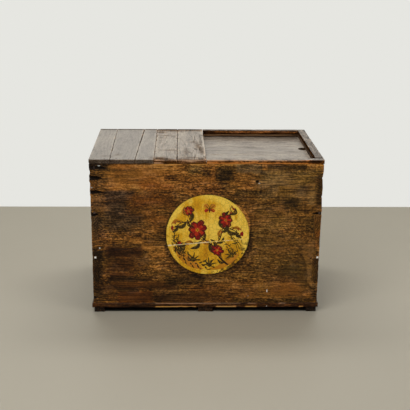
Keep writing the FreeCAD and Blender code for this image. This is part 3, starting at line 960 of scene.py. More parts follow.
PLAIN_TONE = 0.06


def patch_shares(points):
    """Tone, warmth, calm and ash that the patches on the front give. Later ones lie over earlier ones."""
    wobble = 0.24 * ruffle(points * (1.0, 1.0, 2.0), 24, 5) + 0.2 * ruffle(points * (1.0, 1.0, 2.0), 70, 9)
    x, _, height = place_on_walls(points)
    looks = np.array([(PLAIN_TONE, 0.0, 0.0, 0.0)] * len(points))
    for patch in FRONT_PATCHES:
        half_x, half_z = (patch.right - patch.left) / 2, (patch.high - patch.low) / 2
        past_x = np.abs(x - patch.left - half_x) * 0.6 - half_x * 0.6
        past_z = np.abs(height - patch.low - half_z) - half_z
        soft = patch.softness * min(half_x, half_z) * 2
        share = np.clip(0.5 - np.maximum(past_x, past_z) / soft + wobble, 0, 1)
        share = share * share * (3 - 2 * share)
        looks += (np.array([patch.tone, patch.warmth, patch.calm, patch.ash]) - looks) * share[:, None]
    return looks.T


INNER_FACE = 22 * MM  # what lies deeper in the walls than this faces the inside


def wall_wear(points):
    """Bare inner faces, and grime where a face lies behind the walls' outside."""
    depths = np.minimum(points - BODY_BOX[0], BODY_BOX[1] - points)[:, :2].min(1)
    inner = (depths > INNER_FACE).astype(float)
    return {"grime": rise(depths, 1.2 * MM, 2.7 * MM) * (1 - inner), "bare": inner}


DULL_TOP = ((95, 300),)


def front_wear(points, normals):
    """Patches of lacquer on the front. The top edge is darkened by a painted shadow under the grey planks,
    then rubbed.
    """
    values = wall_wear(points)
    tone, warmth, calm, ash = patch_shares(points)
    x, _, height = place_on_walls(points)
    drop = WALL_HEIGHT - height
    rubbed_part = rise(x, BROWN_PLANKS_X, BROWN_PLANKS_X + 10)
    top_line = (0.75 - 0.5 * within(x, DULL_TOP)) * rubbed_part * hump(drop, 2.5, 2.5)
    # painted shadow: a dark line along the top edge under the grey planks
    top_line -= 0.6 * (1 - rubbed_part) * hump(drop, 0, 3.5)
    values.update(tone=tone + top_line, warmth=warmth, calm=calm, rubbed=ash)
    return values


def behind_front(points):
    """How far each point lies behind the walls' front, in millimetres."""
    return (points[:, 1] - BODY_BOX[0][1]) / MM


def side_wear(points, normals):
    """The front's patches on the tails that show there, and clouded lacquer on the sides."""
    values = front_wear(points, normals)
    at_front = rise(behind_front(points), 4, 1)
    for name, cloud in clouded_wear(points).items():
        values[name] = cloud + (values[name] - cloud) * at_front
    return values


def clouded_wear(points):
    """Large soft clouds of thicker and thinner lacquer, darker near the floor."""
    cloud = ruffle(points * (1.0, 1.0, 1.6), 5, 31) + 0.5 * ruffle(points * (1.0, 1.0, 2.0), 14, 32)
    foot = rise(place_on_walls(points)[2], 89, -1)
    return {
        "tone": 0.12 + 0.55 * cloud - 0.35 * foot,
        "warmth": 0.6 * ruffle(points, 4, 33),
        "calm": np.clip(0.35 + 0.5 * ruffle(points, 6, 34), 0, 1),
        "rubbed": np.zeros(len(points)),
    }


BROWN_PLANKS_X = -186.0
Stain = namedtuple("Stain", "x y half_x half_y depth")  # the depth is how dark it is
TOP_STAINS = (
    Stain(-309, -196, 9, 14, 0.4),
    Stain(-352, -215, 16, 12, 0.2),
    Stain(-296, 20, 6, 10, 0.2),
    # the plank left of the last one: a brown rear end and marks across it
    Stain(-140, 240, 46, 34, 0.35),
    Stain(-158, 196, 20, 14, 0.4),
    Stain(-146, 140, 26, 9, 0.5),
    Stain(-154, 96, 20, 8, 0.4),
    Stain(-128, -118, 26, 12, 0.45),
    Stain(-165, -244, 24, 20, 0.7),
    # the plank beside the lid: marks along its right edge
    Stain(-50, 246, 60, 24, 0.25),
    Stain(-70, -150, 10, 60, 0.35),
    Stain(-28, -40, 9, 60, 0.5),
    Stain(-14, -130, 8, 70, 0.6),
    Stain(-44, 20, 16, 16, 0.35),
    Stain(-50, -240, 60, 14, 0.4),
)


def stain_depth(x, y, blur):
    """How dark the stains on the top are together. blur frays their outlines."""
    depth = 0.0
    for stain in TOP_STAINS:
        reach = np.hypot((x - stain.x) / stain.half_x, (y - stain.y) / stain.half_y)
        depth = depth + stain.depth * hump(reach * blur, 0, 1)
    return depth


def top_wear(points, normals):
    """Grey rubbed faces, dark ends and browned, battered front ends beside the lid."""
    up, end = facing(normals[:, 2]), facing(-normals[:, 1])
    x, y, z = (points / MM).T
    near_lid = rise(x, BROWN_PLANKS_X, BROWN_PLANKS_X + 6)
    wander = 14 * ruffle(points, 25, 6)
    front = rise(y - wander, -246, -260) * near_lid
    rear = rise(y + wander, 200, 250) * (0.3 + 0.7 * near_lid)
    lid_edge = hump(x, -2, 5) * up
    stains = stain_depth(x, y, 1 + 0.5 * ruffle(points, 60, 12))
    splinters = np.clip(0.4 + ruffle(points * (0.3, 1.0, 3.0), 70, 4) * 2.4, 0, 1) * near_lid
    crown = rise(CAD_BOX[1][2] / MM - z, 7, 5)
    far_edge = rise(y, 254, 262)
    tone = (
        0.24 * near_lid * up
        + end * (1.3 * splinters - 0.2 - 0.4 * crown * near_lid + (0.12 * crown - 0.25) * (1 - near_lid))
        - 0.5 * stains * up
        - 0.3 * front * up
        - 0.2 * rear
        + 0.5 * lid_edge
        - 0.7 * far_edge
    )
    rubbed = np.clip(1 - 0.45 * front - 0.25 * rear - 0.9 * stains - far_edge, 0, 1)
    return {
        "chip": rise(y, 240, 220),
        "rubbed": up * rubbed + end * (0.5 * splinters + 0.5 * (1 - near_lid)),
        "tone": tone,
        "warmth": 0.3 * front + 0.2 * rear + 0.2 * end,
        "bare": np.clip(-normals[:, 2], 0, 1),
        "scar": near_lid * up * np.clip(0.2 + (x + 70) / 120, 0.2, 0.55) * rise(y, 200, 120),
        "calm": 0.4 * near_lid,
    }


def along_rail(points, normals):
    """X and the depth below a rail's top, in millimetres, and how far each point faces up."""
    height = points[:, 2] / MM
    return points[:, 0] / MM, height.max() - height, facing(normals[:, 2])


def front_rail_wear(points, normals):
    """A rubbed top with a painted highlight along its upper arris, and an orange face that is dark towards
    its right end and along its upper edge.
    """
    x, drop, up = along_rail(points, normals)
    # painted highlight along the rail's upper arris, which also greys it
    arris_highlight = rise(drop, 4.5, 1.5) * rise(x, 345, 315)
    dark_end = rise(x, 344, 364)
    mottle = 0.25 * ruffle(points * (0.35, 1.0, 1.0), 60, 14)
    face = 0.85 + mottle + 0.3 * rise(drop, 9, 11)
    face -= 0.2 * rise(x, 150, 230) + 0.95 * hump(drop, 7, 3) + 0.75 * dark_end
    inner = np.clip(normals[:, 1], 0, 1)
    return {
        "rubbed": np.maximum(up * 0.9, arris_highlight * 0.8),
        "tone": face * (1 - up) - inner - 0.2 * dark_end + 0.6 * arris_highlight * (1 - up),
        "warmth": 0.7,
    }


def rear_rail_wear(points, normals):
    """Dark russet, with a lighter line along the inner face that is a painted highlight."""
    x, drop, up = along_rail(points, normals)
    # painted highlight along the middle of the inner face
    line = hump(drop, 5, 3) * np.clip(-normals[:, 1], 0, 1) * rise(x, 20, 60)
    return {"rubbed": 0.6 * up + 0.1 * line, "tone": -0.4 + 1.1 * line, "warmth": 1.0, "edge": 0.0}


def right_rail_wear(points, normals):
    """A rubbed top, and sides darkened near black as painted shade."""
    up = facing(normals[:, 2])
    dark_end = rise(points[:, 1] / MM, -225, -245)
    # painted shade: the sides are darkened
    tone = -0.5 * (1 - up) - 0.2 * up - 0.6 * dark_end
    return {"rubbed": up * (0.8 - 0.5 * dark_end), "tone": tone, "warmth": 0.3, "edge": 0.0}


def lid_wear(points, normals):
    """A rubbed upper face, darker towards the rear as a painted shadow of the rear rail, and a bare
    underside.
    """
    up = facing(normals[:, 2])
    # painted shadow of the rear rail over the lid's rear part
    rear = rise(points[:, 1] / MM, 115, 225)
    return {
        "rubbed": up * (1 - 0.15 * rear),
        "tone": 0.2 - 0.5 * rear - 0.5 * (1 - up),
        "warmth": 0.2,
        "bare": np.clip(-normals[:, 2], 0, 1),
        "scar": 0.3,
    }


# stretches along X where the front edge of the bottom is rubbed pale, at its foot and along its upper line
WORN_FOOT = ((-180, -35), (35, 108), (145, 182), (333, 350))
LIGHT_LINE = ((-180, 130), (150, 180), (262, 292))


def within(x, stretches):
    """1 where x is in one of some stretches, else 0."""
    return sum(((x > start) & (x < end)).astype(float) for start, end in stretches)


def bottom_wear(points, normals):
    """Dark russet edges, rubbed pale along stretches of the front one, and bare faces."""
    height = points[:, 2] / MM
    x = points[:, 0] / MM + 8 * ruffle(points, 30, 8)
    at_front = rise(behind_front(points), 1, -1)
    foot = hump(height, height.min(), 4) * within(x, WORN_FOOT) * at_front
    head = hump(height, height.max(), 2.5) * within(x, LIGHT_LINE) * at_front
    flat = np.abs(normals[:, 2]) > 0.8
    return {
        "tone": np.where(flat, 0.05, -0.42) + 3.0 * foot + 1.0 * head,
        "warmth": 0.8 - 1.8 * foot,
        "rubbed": 0.1 * foot + 0.4 * head,
        "calm": 0.5,
        "bare": flat.astype(float),
        "edge": 0.0,
    }


def bare_wear(points, normals):
    """Bare wood all over."""
    return {"bare": 1.0}


def back_wear(points, normals):
    """Bare wood, clouded by damp and dirt."""
    clouds = clouded_wear(points)
    return {"bare": 1.0, "tone": 0.25 + clouds["tone"], "calm": clouds["calm"]}


def runner_painted_shade(points, normals):
    """Wood coloured near black as painted shade under the chest, a little paler on the middle runner."""
    middle = np.abs(points[:, 0]) < 100 * MM
    return {"bare": 1.0, "tone": np.where(middle, -0.6, -1.0), "edge": 0.0}


def outlined(x, middle, width, size, outline):
    """An outline in shares of a width and a size, as corners along X and Z."""
    return [front_point(x + along * width, middle + up * size) for along, up in outline]


def circle(corners):
    """The corners of a round outline with a radius of 1."""
    turns = [2 * math.pi * step / corners for step in range(corners)]
    return [(math.cos(turn), math.sin(turn)) for turn in turns]


BLUNT_WEDGE = ((0, 0.5), (0, -0.5), (0.6, -0.36), (1, -0.05), (0.62, 0.34))
UPRIGHT_SLOT = ((-0.5, 0.5), (-0.25, -0.5), (0.5, 0.5))
KNOT = circle(9)
LEFT_END, RIGHT_END = -406.0, 406.0
# what is broken out of the front: X, height above the walls' foot, width, size, depth
BROKEN_CORNERS = [
    (outlined(x, middle, width, size, BLUNT_WEDGE), depth * MM)
    for x, middle, width, size, depth in (
        (LEFT_END, 495, 64, 15, 7),
        (LEFT_END, 458, 48, 19, 11),
        (LEFT_END, 408, 56, 14, 10),
        (LEFT_END, 328, 32, 18, 9),
        (LEFT_END, 21, 22, 14, 8),
        (RIGHT_END, 333, -38, 13, 9),
        (RIGHT_END, 459, -12, 9, 8),
        (RIGHT_END, 393, -10, 10, 8),
    )
]
CRACKS = [
    (outlined(188, 498, 2.4, 34, UPRIGHT_SLOT), 4 * MM),
    (outlined(174, 446, 6, 4.8, KNOT), 7 * MM),
    (outlined(371, 168, 3, 2.4, KNOT), 5 * MM),
]


def panel_place():
    """Centre along X and Z, and radius, of the round panel."""
    low, high = box_of("medallion_upper", "medallion_lower")
    return ((low[0] + high[0]) / 2, (low[2] + high[2]) / 2), (high[2] - low[2]) / 2


def panel_joint():
    """Height at X = 0 and slope of the joint that breaks the panel."""
    (centre_x, centre_z), radius = panel_place()
    left_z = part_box("medallion_upper")[0][2]
    right_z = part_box("medallion_lower")[1][2]
    left_x = centre_x - math.sqrt(radius**2 - (left_z - centre_z) ** 2)
    right_x = centre_x + math.sqrt(radius**2 - (right_z - centre_z) ** 2)
    slope = (right_z - left_z) / (right_x - left_x)
    return left_z - slope * left_x, slope


class CHEST_OT_front_boards(bpy.types.Operator):
    """Builds the worn, lacquered boards of the front"""

    bl_idname = "chest.front_boards"
    bl_label = "Front boards"

    def execute(self, context):
        wood = chest_wood("front_lacquer", "X", panel_place())
        cutters = BROKEN_CORNERS + CRACKS
        for seed, node in enumerate(("front_board_upper", "front_board_lower"), 1):
            aged_board(node, "X", wood, seed, front_wear, 1.6, 0.5, 0.75, BODY_BOX, cutters)
        return {"FINISHED"}


class CHEST_OT_side_boards(bpy.types.Operator):
    """Builds the lacquered boards of both sides, with their dovetails"""

    bl_idname = "chest.side_boards"
    bl_label = "Side boards"

    def execute(self, context):
        wood = chest_wood("side_lacquer", "Y", busy=0.6, ringed=0.18)
        nodes = [f"{side}_side_board_{part}" for side in ("left", "right") for part in ("upper", "lower")]
        for seed, node in enumerate(nodes, 3):
            aged_board(node, "Y", wood, seed, side_wear, 1.6, 0.5, outside=BODY_BOX, cutters=BROKEN_CORNERS)
        return {"FINISHED"}


class CHEST_OT_back_boards(bpy.types.Operator):
    """Builds the plain boards of the back"""

    bl_idname = "chest.back_boards"
    bl_label = "Back boards"

    def execute(self, context):
        wood = chest_wood("back_wood", "X", busy=0.5, ringed=0.22)
        for seed, node in enumerate(("back_board_upper", "back_board_lower"), 7):
            aged_board(node, "X", wood, seed, back_wear, outside=BODY_BOX)
        return {"FINISHED"}


class CHEST_OT_top_planks(bpy.types.Operator):
    """Builds the fixed planks of the top"""

    bl_idname = "chest.top_planks"
    bl_label = "Top planks"

    def execute(self, context):
        smooth = chest_wood("top_wood", "Y", relief=0.4, busy=0.35, sheen=1.0)
        rough = chest_wood("battered_top_wood", "Y", relief=0.8, busy=0.8, ringed=0.1, sheen=0.8)
        for number in range(1, 6):
            wood, chips = (rough, 2.0) if number > 3 else (smooth, 1.0)
            aged_board(f"top_plank_{number}", "Y", wood, 10 + number, top_wear, chips, arris=0.6)
        dirt = chest_wood("packed_dirt", "Y")
        for number in range(1, 5):
            joint_dirt(number, dirt)
        return {"FINISHED"}


DIRT_HALF, DIRT_TOP, DIRT_LOW, DIRT_STEPS = 1.3 * MM, 1.6 * MM, 8.0 * MM, 60
PALE_DIRT = 3  # the joint whose dirt is rubbed paler


def tube_faces(count):
    """The faces of a closed tube of rings with four corners each."""
    sides = []
    for ring in range(0, 4 * (count - 1), 4):
        for corner, following in ((0, 1), (1, 2), (2, 3), (3, 0)):
            sides.append((ring + corner, ring + following, ring + 4 + following, ring + 4 + corner))
    return [*sides, (3, 2, 1, 0), range(4 * count - 4, 4 * count)]


def joint_dirt(number, dirt):
    """Dirt packed between a top plank and the next one."""
    solid = points_of(frame["nodes"][f"top_plank_{number}"].data.vertices)
    low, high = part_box(f"top_plank_{number}")
    ends = [solid[np.abs(solid[:, 1] - y) < MM][:, 0].max() for y in (low[1], high[1])]
    shares = np.linspace(0.01, 0.99, DIRT_STEPS)
    middle = np.stack([np.interp(shares, (0, 1), ends), low[1] + (high[1] - low[1]) * shares], 1)
    sink = DIRT_TOP + 0.5 * MM * ruffle(np.pad(middle, ((0, 0), (0, 1))), 40, number)
    corners = []
    for (x, y), top in zip(middle, sink):
        for side, depth in ((-1, top), (1, top), (1, DIRT_LOW), (-1, DIRT_LOW)):
            corners.append((x + side * DIRT_HALF, y, high[2] - depth))
    mesh = bpy.data.meshes.new(f"joint_dirt_{number}")
    mesh.from_pydata(corners, [], tube_faces(DIRT_STEPS))
    write_attributes(mesh, {"board": number * 0.4, "grime": 0.3 if number == PALE_DIRT else 0.7})
    new_piece(f"joint_dirt_{number}", mesh, dirt, "top_plank_1", in_place=False)


class CHEST_OT_rim_rails(bpy.types.Operator):
    """Builds the rails round the lid"""

    bl_idname = "chest.rim_rails"
    bl_label = "Rim rails"

    def execute(self, context):
        woods = {grain: chest_wood(f"rail_wood_{grain.lower()}", grain, sheen=1.0) for grain in "XY"}
        aged_board("rim_rail_front", "X", woods["X"], 21, front_rail_wear)
        aged_board("rim_rail_rear", "X", woods["X"], 22, rear_rail_wear)
        aged_board("rim_rail_right", "Y", woods["Y"], 23, right_rail_wear)
        return {"FINISHED"}


class CHEST_OT_bottom(bpy.types.Operator):
    """Builds the bottom boards and the runners under them"""

    bl_idname = "chest.bottom"
    bl_label = "Bottom and runners"

    def execute(self, context):
        boards = chest_wood("bottom_wood", "X")
        for number in range(1, 4):
            aged_board(f"bottom_board_{number}", "X", boards, 30 + number, bottom_wear)
        runners = chest_wood("runner_wood", "Y")
        for seed, side in enumerate(("left", "middle", "right"), 34):
            aged_board(f"skid_{side}", "Y", runners, seed, runner_painted_shade)
        return {"FINISHED"}


class CHEST_OT_lid(bpy.types.Operator):
    """Builds the sliding lid and its battens"""

    bl_idname = "chest.lid"
    bl_label = "Sliding lid"

    def execute(self, context):
        boards = chest_wood("lid_wood", "X", relief=0.4, busy=0.6, sheen=1.0)
        for number in range(1, 4):
            aged_board(f"lid_board_{number}", "X", boards, 40 + number, lid_wear, chips=0.3, arris=0.4)
        battens = chest_wood("batten_wood", "Y")
        for seed, side in enumerate(("left", "right"), 44):
            aged_board(f"lid_batten_{side}", "Y", battens, seed, bare_wear)
        return {"FINISHED"}


PANEL_SLICE = 5 * MM
PANEL_ROOT = 0.8 * MM  # how far the coat goes into the board
PANEL_RIM = 4 * MM


class CHEST_OT_panel(bpy.types.Operator):
    """Builds the cracked ground of the round panel"""

    bl_idname = "chest.panel"
    bl_label = "Round panel"

    def execute(self, context):
        ground = cracked_ground(panel_place(), panel_joint())
        for node in ("medallion_upper", "medallion_lower"):
            panel_half(node, ground)
        return {"FINISHED"}


def panel_half(node, ground):
    """Half of the panel: a thin coat with a wavy rim, set into the board behind it."""
    (centre_x, centre_z), radius = panel_place()
    work = plain_board(node)
    slice_up(work, PANEL_SLICE)
    points = points_of(work.verts)
    out = points[:, [0, 2]] - (centre_x, centre_z)
    reach = np.hypot(*out.T)
    at_rim = rise(reach, radius - PANEL_RIM, radius)
    inset = at_rim * (0.9 * MM + 0.8 * MM * ruffle(points, 60, 2))
    points[:, [0, 2]] -= out / np.maximum(reach, MM)[:, None] * inset[:, None]
    behind = points[:, 1] > points[:, 1].min() + 0.3 * MM
    points[:, 1] += np.where(behind, PANEL_ROOT, 0.08 * MM + 0.06 * MM * ruffle(points, 45, 4))
    move_points(work, points)
    mesh = finished_mesh(work, f"cracked_{node}")
    new_piece(f"cracked_{node}", mesh, ground, node)


COLUMNS = np.linspace(-1, 1, 5)
PAINT_ROOT = 0.35 * MM  # how far a stroke goes into the ground
PAINT_RIDGE, LEAST_HALF_WIDTH = 0.12, 0.25
CRACK_HALF = 1.6 * MM
FREE_REACH, PAINT_REACH = 122.0, 140.0  # paint past the first is drawn in, so that it keeps inside the second


def smooth_path(points, steps):
    """Points along a smooth curve through some points."""
    corners = np.array([points[0], *points, points[-1]], float)
    path = []
    for index in range(len(points) - 1):
        before, start, end, after = corners[index : index + 4]
        for share in np.linspace(0, 1, steps, endpoint=False):
            bend = 2 * before - 5 * start + 4 * end - after
            twist = 3 * start - before - 3 * end + after
            path.append(start + ((end - before) * share + bend * share**2 + twist * share**3) / 2)
    return np.array([*path, corners[-1]])


class Pigment:
    """Strokes of one paint on the panel, in millimetres from its centre."""

    def __init__(self):
        self.work = bmesh.new()
        self.tone = self.work.verts.layers.float.new("tone")
        (self.centre_x, self.centre_z), _ = panel_place()
        self.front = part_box("medallion_upper")[0][1]

    def vert(self, place, height, tone):
        reach = np.hypot(*place)
        room = PAINT_REACH - FREE_REACH
        held = FREE_REACH + room * (1 - math.exp((FREE_REACH - reach) / room))
        x, z = place * (held / reach if reach > FREE_REACH else 1.0) * MM
        added = self.work.verts.new((self.centre_x + x, self.front - height, self.centre_z + z))
        added[self.tone] = tone
        return added

    def stroke(self, points, half_width, layer, steps=6):
        """A low ridge along a curve, as one closed shell. half_width tells its width from start to end."""
        path = smooth_path(points, steps)
        along = np.gradient(path, axis=0)
        sides = np.stack([-along[:, 1], along[:, 0]], 1) / np.linalg.norm(along, axis=1)[:, None]
        shares = np.linspace(0, 1, len(path))
        fronts, backs = [], []
        heights = (layer + PAINT_RIDGE * (1 - COLUMNS**2)) * MM
        for place, side, share in zip(path, sides, shares):
            half = max(half_width(share), LEAST_HALF_WIDTH)
            edges = [place + side * half * column for column in COLUMNS]
            fronts.append([self.vert(edge, height, share) for edge, height in zip(edges, heights)])
            backs.append([self.vert(edge, -PAINT_ROOT, share) for edge in edges])
        rims = []
        for grid in (fronts, backs):
            for row, following in zip(grid, grid[1:]):
                self.join(row, following)
            left, right = [row[0] for row in grid], [row[-1] for row in grid[-2::-1]]
            rims.append([*left, *grid[-1][1:], *right, *grid[0][-2::-1]])
        self.join(*rims)

    def join(self, row, following):
        """Faces between two rows of points."""
        for corners in zip(row, row[1:], following[1:], following):
            self.work.faces.new(corners)

    def break_at_joint(self):
        """Takes the paint away along the crack."""
        height, slope = panel_joint()
        direction = Vector((-slope, 0, 1)).normalized()
        on_joint = Vector((0, 0, height))
        for side in (-1, 1):
            split_at(self.work, on_joint + direction * CRACK_HALF * side, direction)
        lost = [
            face
            for face in self.work.faces
            if abs((face.calc_center_median() - on_joint).dot(direction)) < CRACK_HALF * 0.999
        ]
        bmesh.ops.delete(self.work, geom=lost, context="FACES")
        close_holes(self.work)

    def show(self, name, material):
        self.break_at_joint()
        bmesh.ops.recalc_face_normals(self.work, faces=self.work.faces)
        mesh = finished_mesh(self.work, name, smooth=False)
        new_piece(name, mesh, material, "medallion_upper", in_place=False)


def polar(x, z, reach, turn):
    return (x + reach * math.cos(turn), z + reach * math.sin(turn))


def spokes(x, z, *ends):
    """Points round a centre, each given by its reach and its turn."""
    return [polar(x, z, reach, turn) for reach, turn in ends]


def petal_width(width):
    """Narrow at the root, round at the tip."""
    return lambda share: width * share**0.6 * max(1 - share**4, 0) ** 0.5


def leaf_width(width):
    return lambda share: width * math.sin(math.pi * min(max(share, 0), 1)) ** 0.9


def taper(start, end):
    return lambda share: start + (end - start) * share


Bloom = namedtuple("Bloom", "x z radius turn")
BLOOMS = (
    Bloom(-36, 18, 40, 0.3),
    Bloom(62, 54, 30, 0.9),
    Bloom(-68, 88, 22, 0.1),
    Bloom(34, -56, 25, 0.6),
)
BOUGHS = (
    ((76, -114), (44, -84), (24, -46), (-10, -18), (-40, 12), (-60, 48), (-72, 86)),
    ((24, -46), (44, -10), (52, 24), (64, 54), (84, 90)),
    ((-10, -18), (-50, -32), (-90, -28)),
    ((52, 24), (84, 20), (110, 4)),
    ((-60, 48), (-92, 44), (-116, 26)),
)
BUDS = ((86, 92), (-92, -28), (112, 4), (-118, 26))
BUTTERFLY = (6, 92)
MOUNDS = (
    ((-126, -50), (-100, -64), (-66, -92), (-28, -112)),
    ((-112, -76), (-84, -92), (-52, -114), (-14, -126)),
    ((4, -126), (44, -122), (84, -98), (112, -68)),
)
TUFTS = ((-96, -66, 1.9), (-52, -102, 1.4), (8, -120, 1.7), (92, -84, 2.2))  # X, Z and the way they lean
Reeds = namedtuple("Reeds", "start step count lean size")
REEDS = (Reeds(3.35, 0.085, 8, 1.25, 44), Reeds(5.55, 0.1, 6, 2.0, 58))


def paint_bloom(petals, lights, washes, ink, bloom):
    """A many-petalled flower: dark outer petals, bright inner ones and an ochre heart."""
    x, z, radius, turn = bloom
    for index in range(7):
        angle = turn + 2 * math.pi * index / 7
        reach = radius * (0.86 + 0.14 * math.sin(5 * angle + x))
        bend = angle + 0.18 * math.cos(3 * angle)
        petal = spokes(x, z, (0.1 * radius, angle), (0.5 * radius, angle), (reach, bend))
        petals.stroke(petal, petal_width(0.36 * radius), 0.3 + 0.02 * index)
        vein = spokes(x, z, (0.35 * radius, angle), (0.95 * reach, bend))
        ink.stroke(vein, taper(0.9, 0.4), 0.46)
        for side in (-0.34, 0.34):
            shoulders = (0.3 * radius, angle + side), (0.66 * radius, angle + 1.1 * side)
            rim = spokes(x, z, *shoulders, (0.97 * reach, bend + 0.4 * side))
            ink.stroke(rim, taper(0.8, 1.2), 0.48)
    for index in range(5):
        angle = turn + 0.4 + 2 * math.pi * index / 5
        light = spokes(x, z, *[(share * radius, angle) for share in (0.05, 0.3, 0.58)])
        lights.stroke(light, petal_width(0.2 * radius), 0.5 + 0.02 * index)
    for index in range(6):
        angle = turn + math.pi * index / 3
        heart = spokes(x, z, (0.06 * radius, angle), (0.2 * radius, angle + 0.3))
        washes.stroke(heart, leaf_width(0.05 * radius), 0.7)


def along_bough(bough, first, step):
    """Places along a bough: the number, X, Z and the way the bough goes there."""
    path = smooth_path(bough, 4)
    for index in range(first, len(path) - 1, step):
        along = path[index + 1] - path[index - 1]
        yield index, *path[index], math.atan2(along[1], along[0])


def paint_leaves(leaves, washes, ink, bough, number):
    """Veined leaves in turn on both sides of a bough."""
    for index, x, z, way in along_bough(bough, 2, 2):
        side = 1 if (index // 2 + number) % 2 else -1
        angle = way + side * (0.8 + 0.25 * math.sin(3.1 * index))
        size = 38 + 9 * math.sin(2.3 * index + number)
        curve = spokes(x, z, (0, 0), (0.5 * size, angle), (size, angle - side * 0.5))
        brushed = washes if index % 6 == 4 else leaves
        brushed.stroke(curve, leaf_width(0.16 * size), 0.2 + 0.01 * index)
        ink.stroke(curve, taper(1.2, 0.5), 0.36 + 0.01 * index)


def paint_twigs(berries, ink, bough, number):
    """Thin twigs with berries at their tips, off both sides of a bough."""
    for index, x, z, way in along_bough(bough, 3, 3):
        side = 1 if (index + number) % 2 else -1
        angle = way - side * (0.7 + 0.3 * math.sin(1.9 * index))
        twig = spokes(x, z, (0, 0), (14, angle), (26 + 5 * math.sin(2.7 * index), angle + 0.4 * side))
        ink.stroke(twig, taper(1.2, 0.7), 0.3)
        for turn in (0.6, 2.4, 4.6):
            berry = spokes(*twig[-1], (0.5, angle + turn), (5.5, angle + turn))
            berries.stroke(berry, leaf_width(2.2), 0.34)


def paint_dabs(leaves, ink):
    """Short dabs of foliage along the lower left of the rim."""
    for index in range(34):
        turn = math.pi + 0.25 + 1.5 * index / 33
        x, z = polar(0, 0, 129 - 8 * (index * 7 % 5), turn)
        lean = turn + 1.3 + 0.8 * math.sin(2.4 * index)
        size = 7 + 3 * math.sin(1.7 * index)
        brushed = ink if index % 3 else leaves
        brushed.stroke(spokes(x, z, (-size, lean), (0, 0), (size, lean + 0.4)), leaf_width(2.8), 0.3)


def paint_reeds(leaves, ink, reeds):
    """Thin reeds that rise from the rim, each with a few blades."""
    for index in range(reeds.count):
        x, z = polar(0, 0, 124, reeds.start + reeds.step * index)
        lean = reeds.lean + 0.16 * math.sin(2.1 * index)
        size = reeds.size * (0.85 + 0.3 * math.sin(1.3 * index + reeds.start))
        stem = spokes(x, z, (0, 0), (0.5 * size, lean), (size, lean + 0.14))
        ink.stroke(stem, taper(1.1, 0.8), 0.3)
        for share, turn in ((0.45, 0.7), (0.62, -0.6), (0.8, 0.6), (1.0, 0.1)):
            foot = polar(x, z, share * size, lean + 0.14 * share)
            blade = spokes(*foot, (0, 0), (6, lean + turn), (13, lean + 1.5 * turn))
            leaves.stroke(blade, leaf_width(1.5), 0.3)


def paint_butterfly(ink, lights, washes, x, z):
    for side in (-1, 1):
        for lean, size, brushed in ((0.75, 26, washes), (-0.35, 19, lights)):
            angle = math.pi / 2 - side * (math.pi / 2 - lean)
            wing = spokes(x, z, (2, angle), (0.5 * size, angle + side * 0.1), (size, angle))
            brushed.stroke(wing, petal_width(0.42 * size), 0.4)
            vein = spokes(x, z, (3, angle), (0.9 * size, angle))
            ink.stroke(vein, taper(1.2, 0.5), 0.6)
        feeler = [(x + side * out, z + up) for out, up in ((1, 8), (4, 16), (10, 21))]
        ink.stroke(feeler, taper(0.8, 0.4), 0.5)
    ink.stroke([(x, z - 12), (x, z), (x, z + 9)], leaf_width(2.6), 0.7)


class CHEST_OT_spray(bpy.types.Operator):
    """Paints a spray of flowers, reeds, tufts of grass and a butterfly on the round panel"""

    bl_idname = "chest.spray"
    bl_label = "Painted spray"

    def execute(self, context):
        look = context.scene.chest_colours
        petals, lights, washes, leaves, ink = [Pigment() for _ in range(5)]
        for number, bough in enumerate(BOUGHS):
            ink.stroke(bough, taper(3.4 if number == 0 else 2.2, 0.8), 0.24)
            paint_leaves(leaves, washes, ink, bough, number)
            paint_twigs(petals, ink, bough, number)
        for bloom in BLOOMS:
            paint_bloom(petals, lights, washes, ink, bloom)
        for x, z in BUDS:
            for lean in (-0.5, 0.0, 0.5):
                angle = math.atan2(z, x) + lean
                petals.stroke(spokes(x, z, (1, angle), (7, angle), (14, angle)), petal_width(4.5), 0.3)
        for mound in MOUNDS:
            washes.stroke(mound, leaf_width(13.0), 0.1)
        for x, z, turn in TUFTS:
            for blade in range(-2, 3):
                lean = turn + 0.34 * blade
                reach = 40 - 5 * abs(blade)
                curve = spokes(x, z, (1, lean), (0.5 * reach, lean), (reach, lean + 0.22 * blade))
                leaves.stroke(curve, leaf_width(2.6), 0.24)
        paint_dabs(leaves, ink)
        for reeds in REEDS:
            paint_reeds(leaves, ink, reeds)
        paint_butterfly(ink, lights, washes, *BUTTERFLY)
        petals.show("painted_petals", paint("petal_red", look.red, look.red_deep, 0.0))
        lights.show("painted_petal_lights", paint("petal_light", look.red, look.red_bright, 0.02))
        washes.show("painted_washes", paint("ochre_wash", look.ochre_deep, look.orange, 0.03))
        leaves.show("painted_leaves", paint("leaf_green", look.leaf, look.ink, 0.02))
        ink.show("painted_boughs", paint("bough_ink", look.ink, look.ink, -0.03))
        return {"FINISHED"}


Splash = namedtuple("Splash", "x up width height soil")  # up is the height above the walls' foot
SPLASHES = (
    Splash(-369, 501, 10, 4, 0.8),
    Splash(-395, 424, 8, 4, 0.9),
    Splash(-372, 205, 5, 6, 0.5),
    Splash(181, 440, 7, 3, 0.5),
    Splash(218, 45, 3.4, 12, 0.0),
    Splash(218, -12, 2.5, 5, 0.3),
    Splash(151, 26, 5, 2.5, 1.0),
)
SPLASH_CORNERS, SPLASH_RISE, SPLASH_ROOT = 9, 0.2 * MM, 1.4 * MM


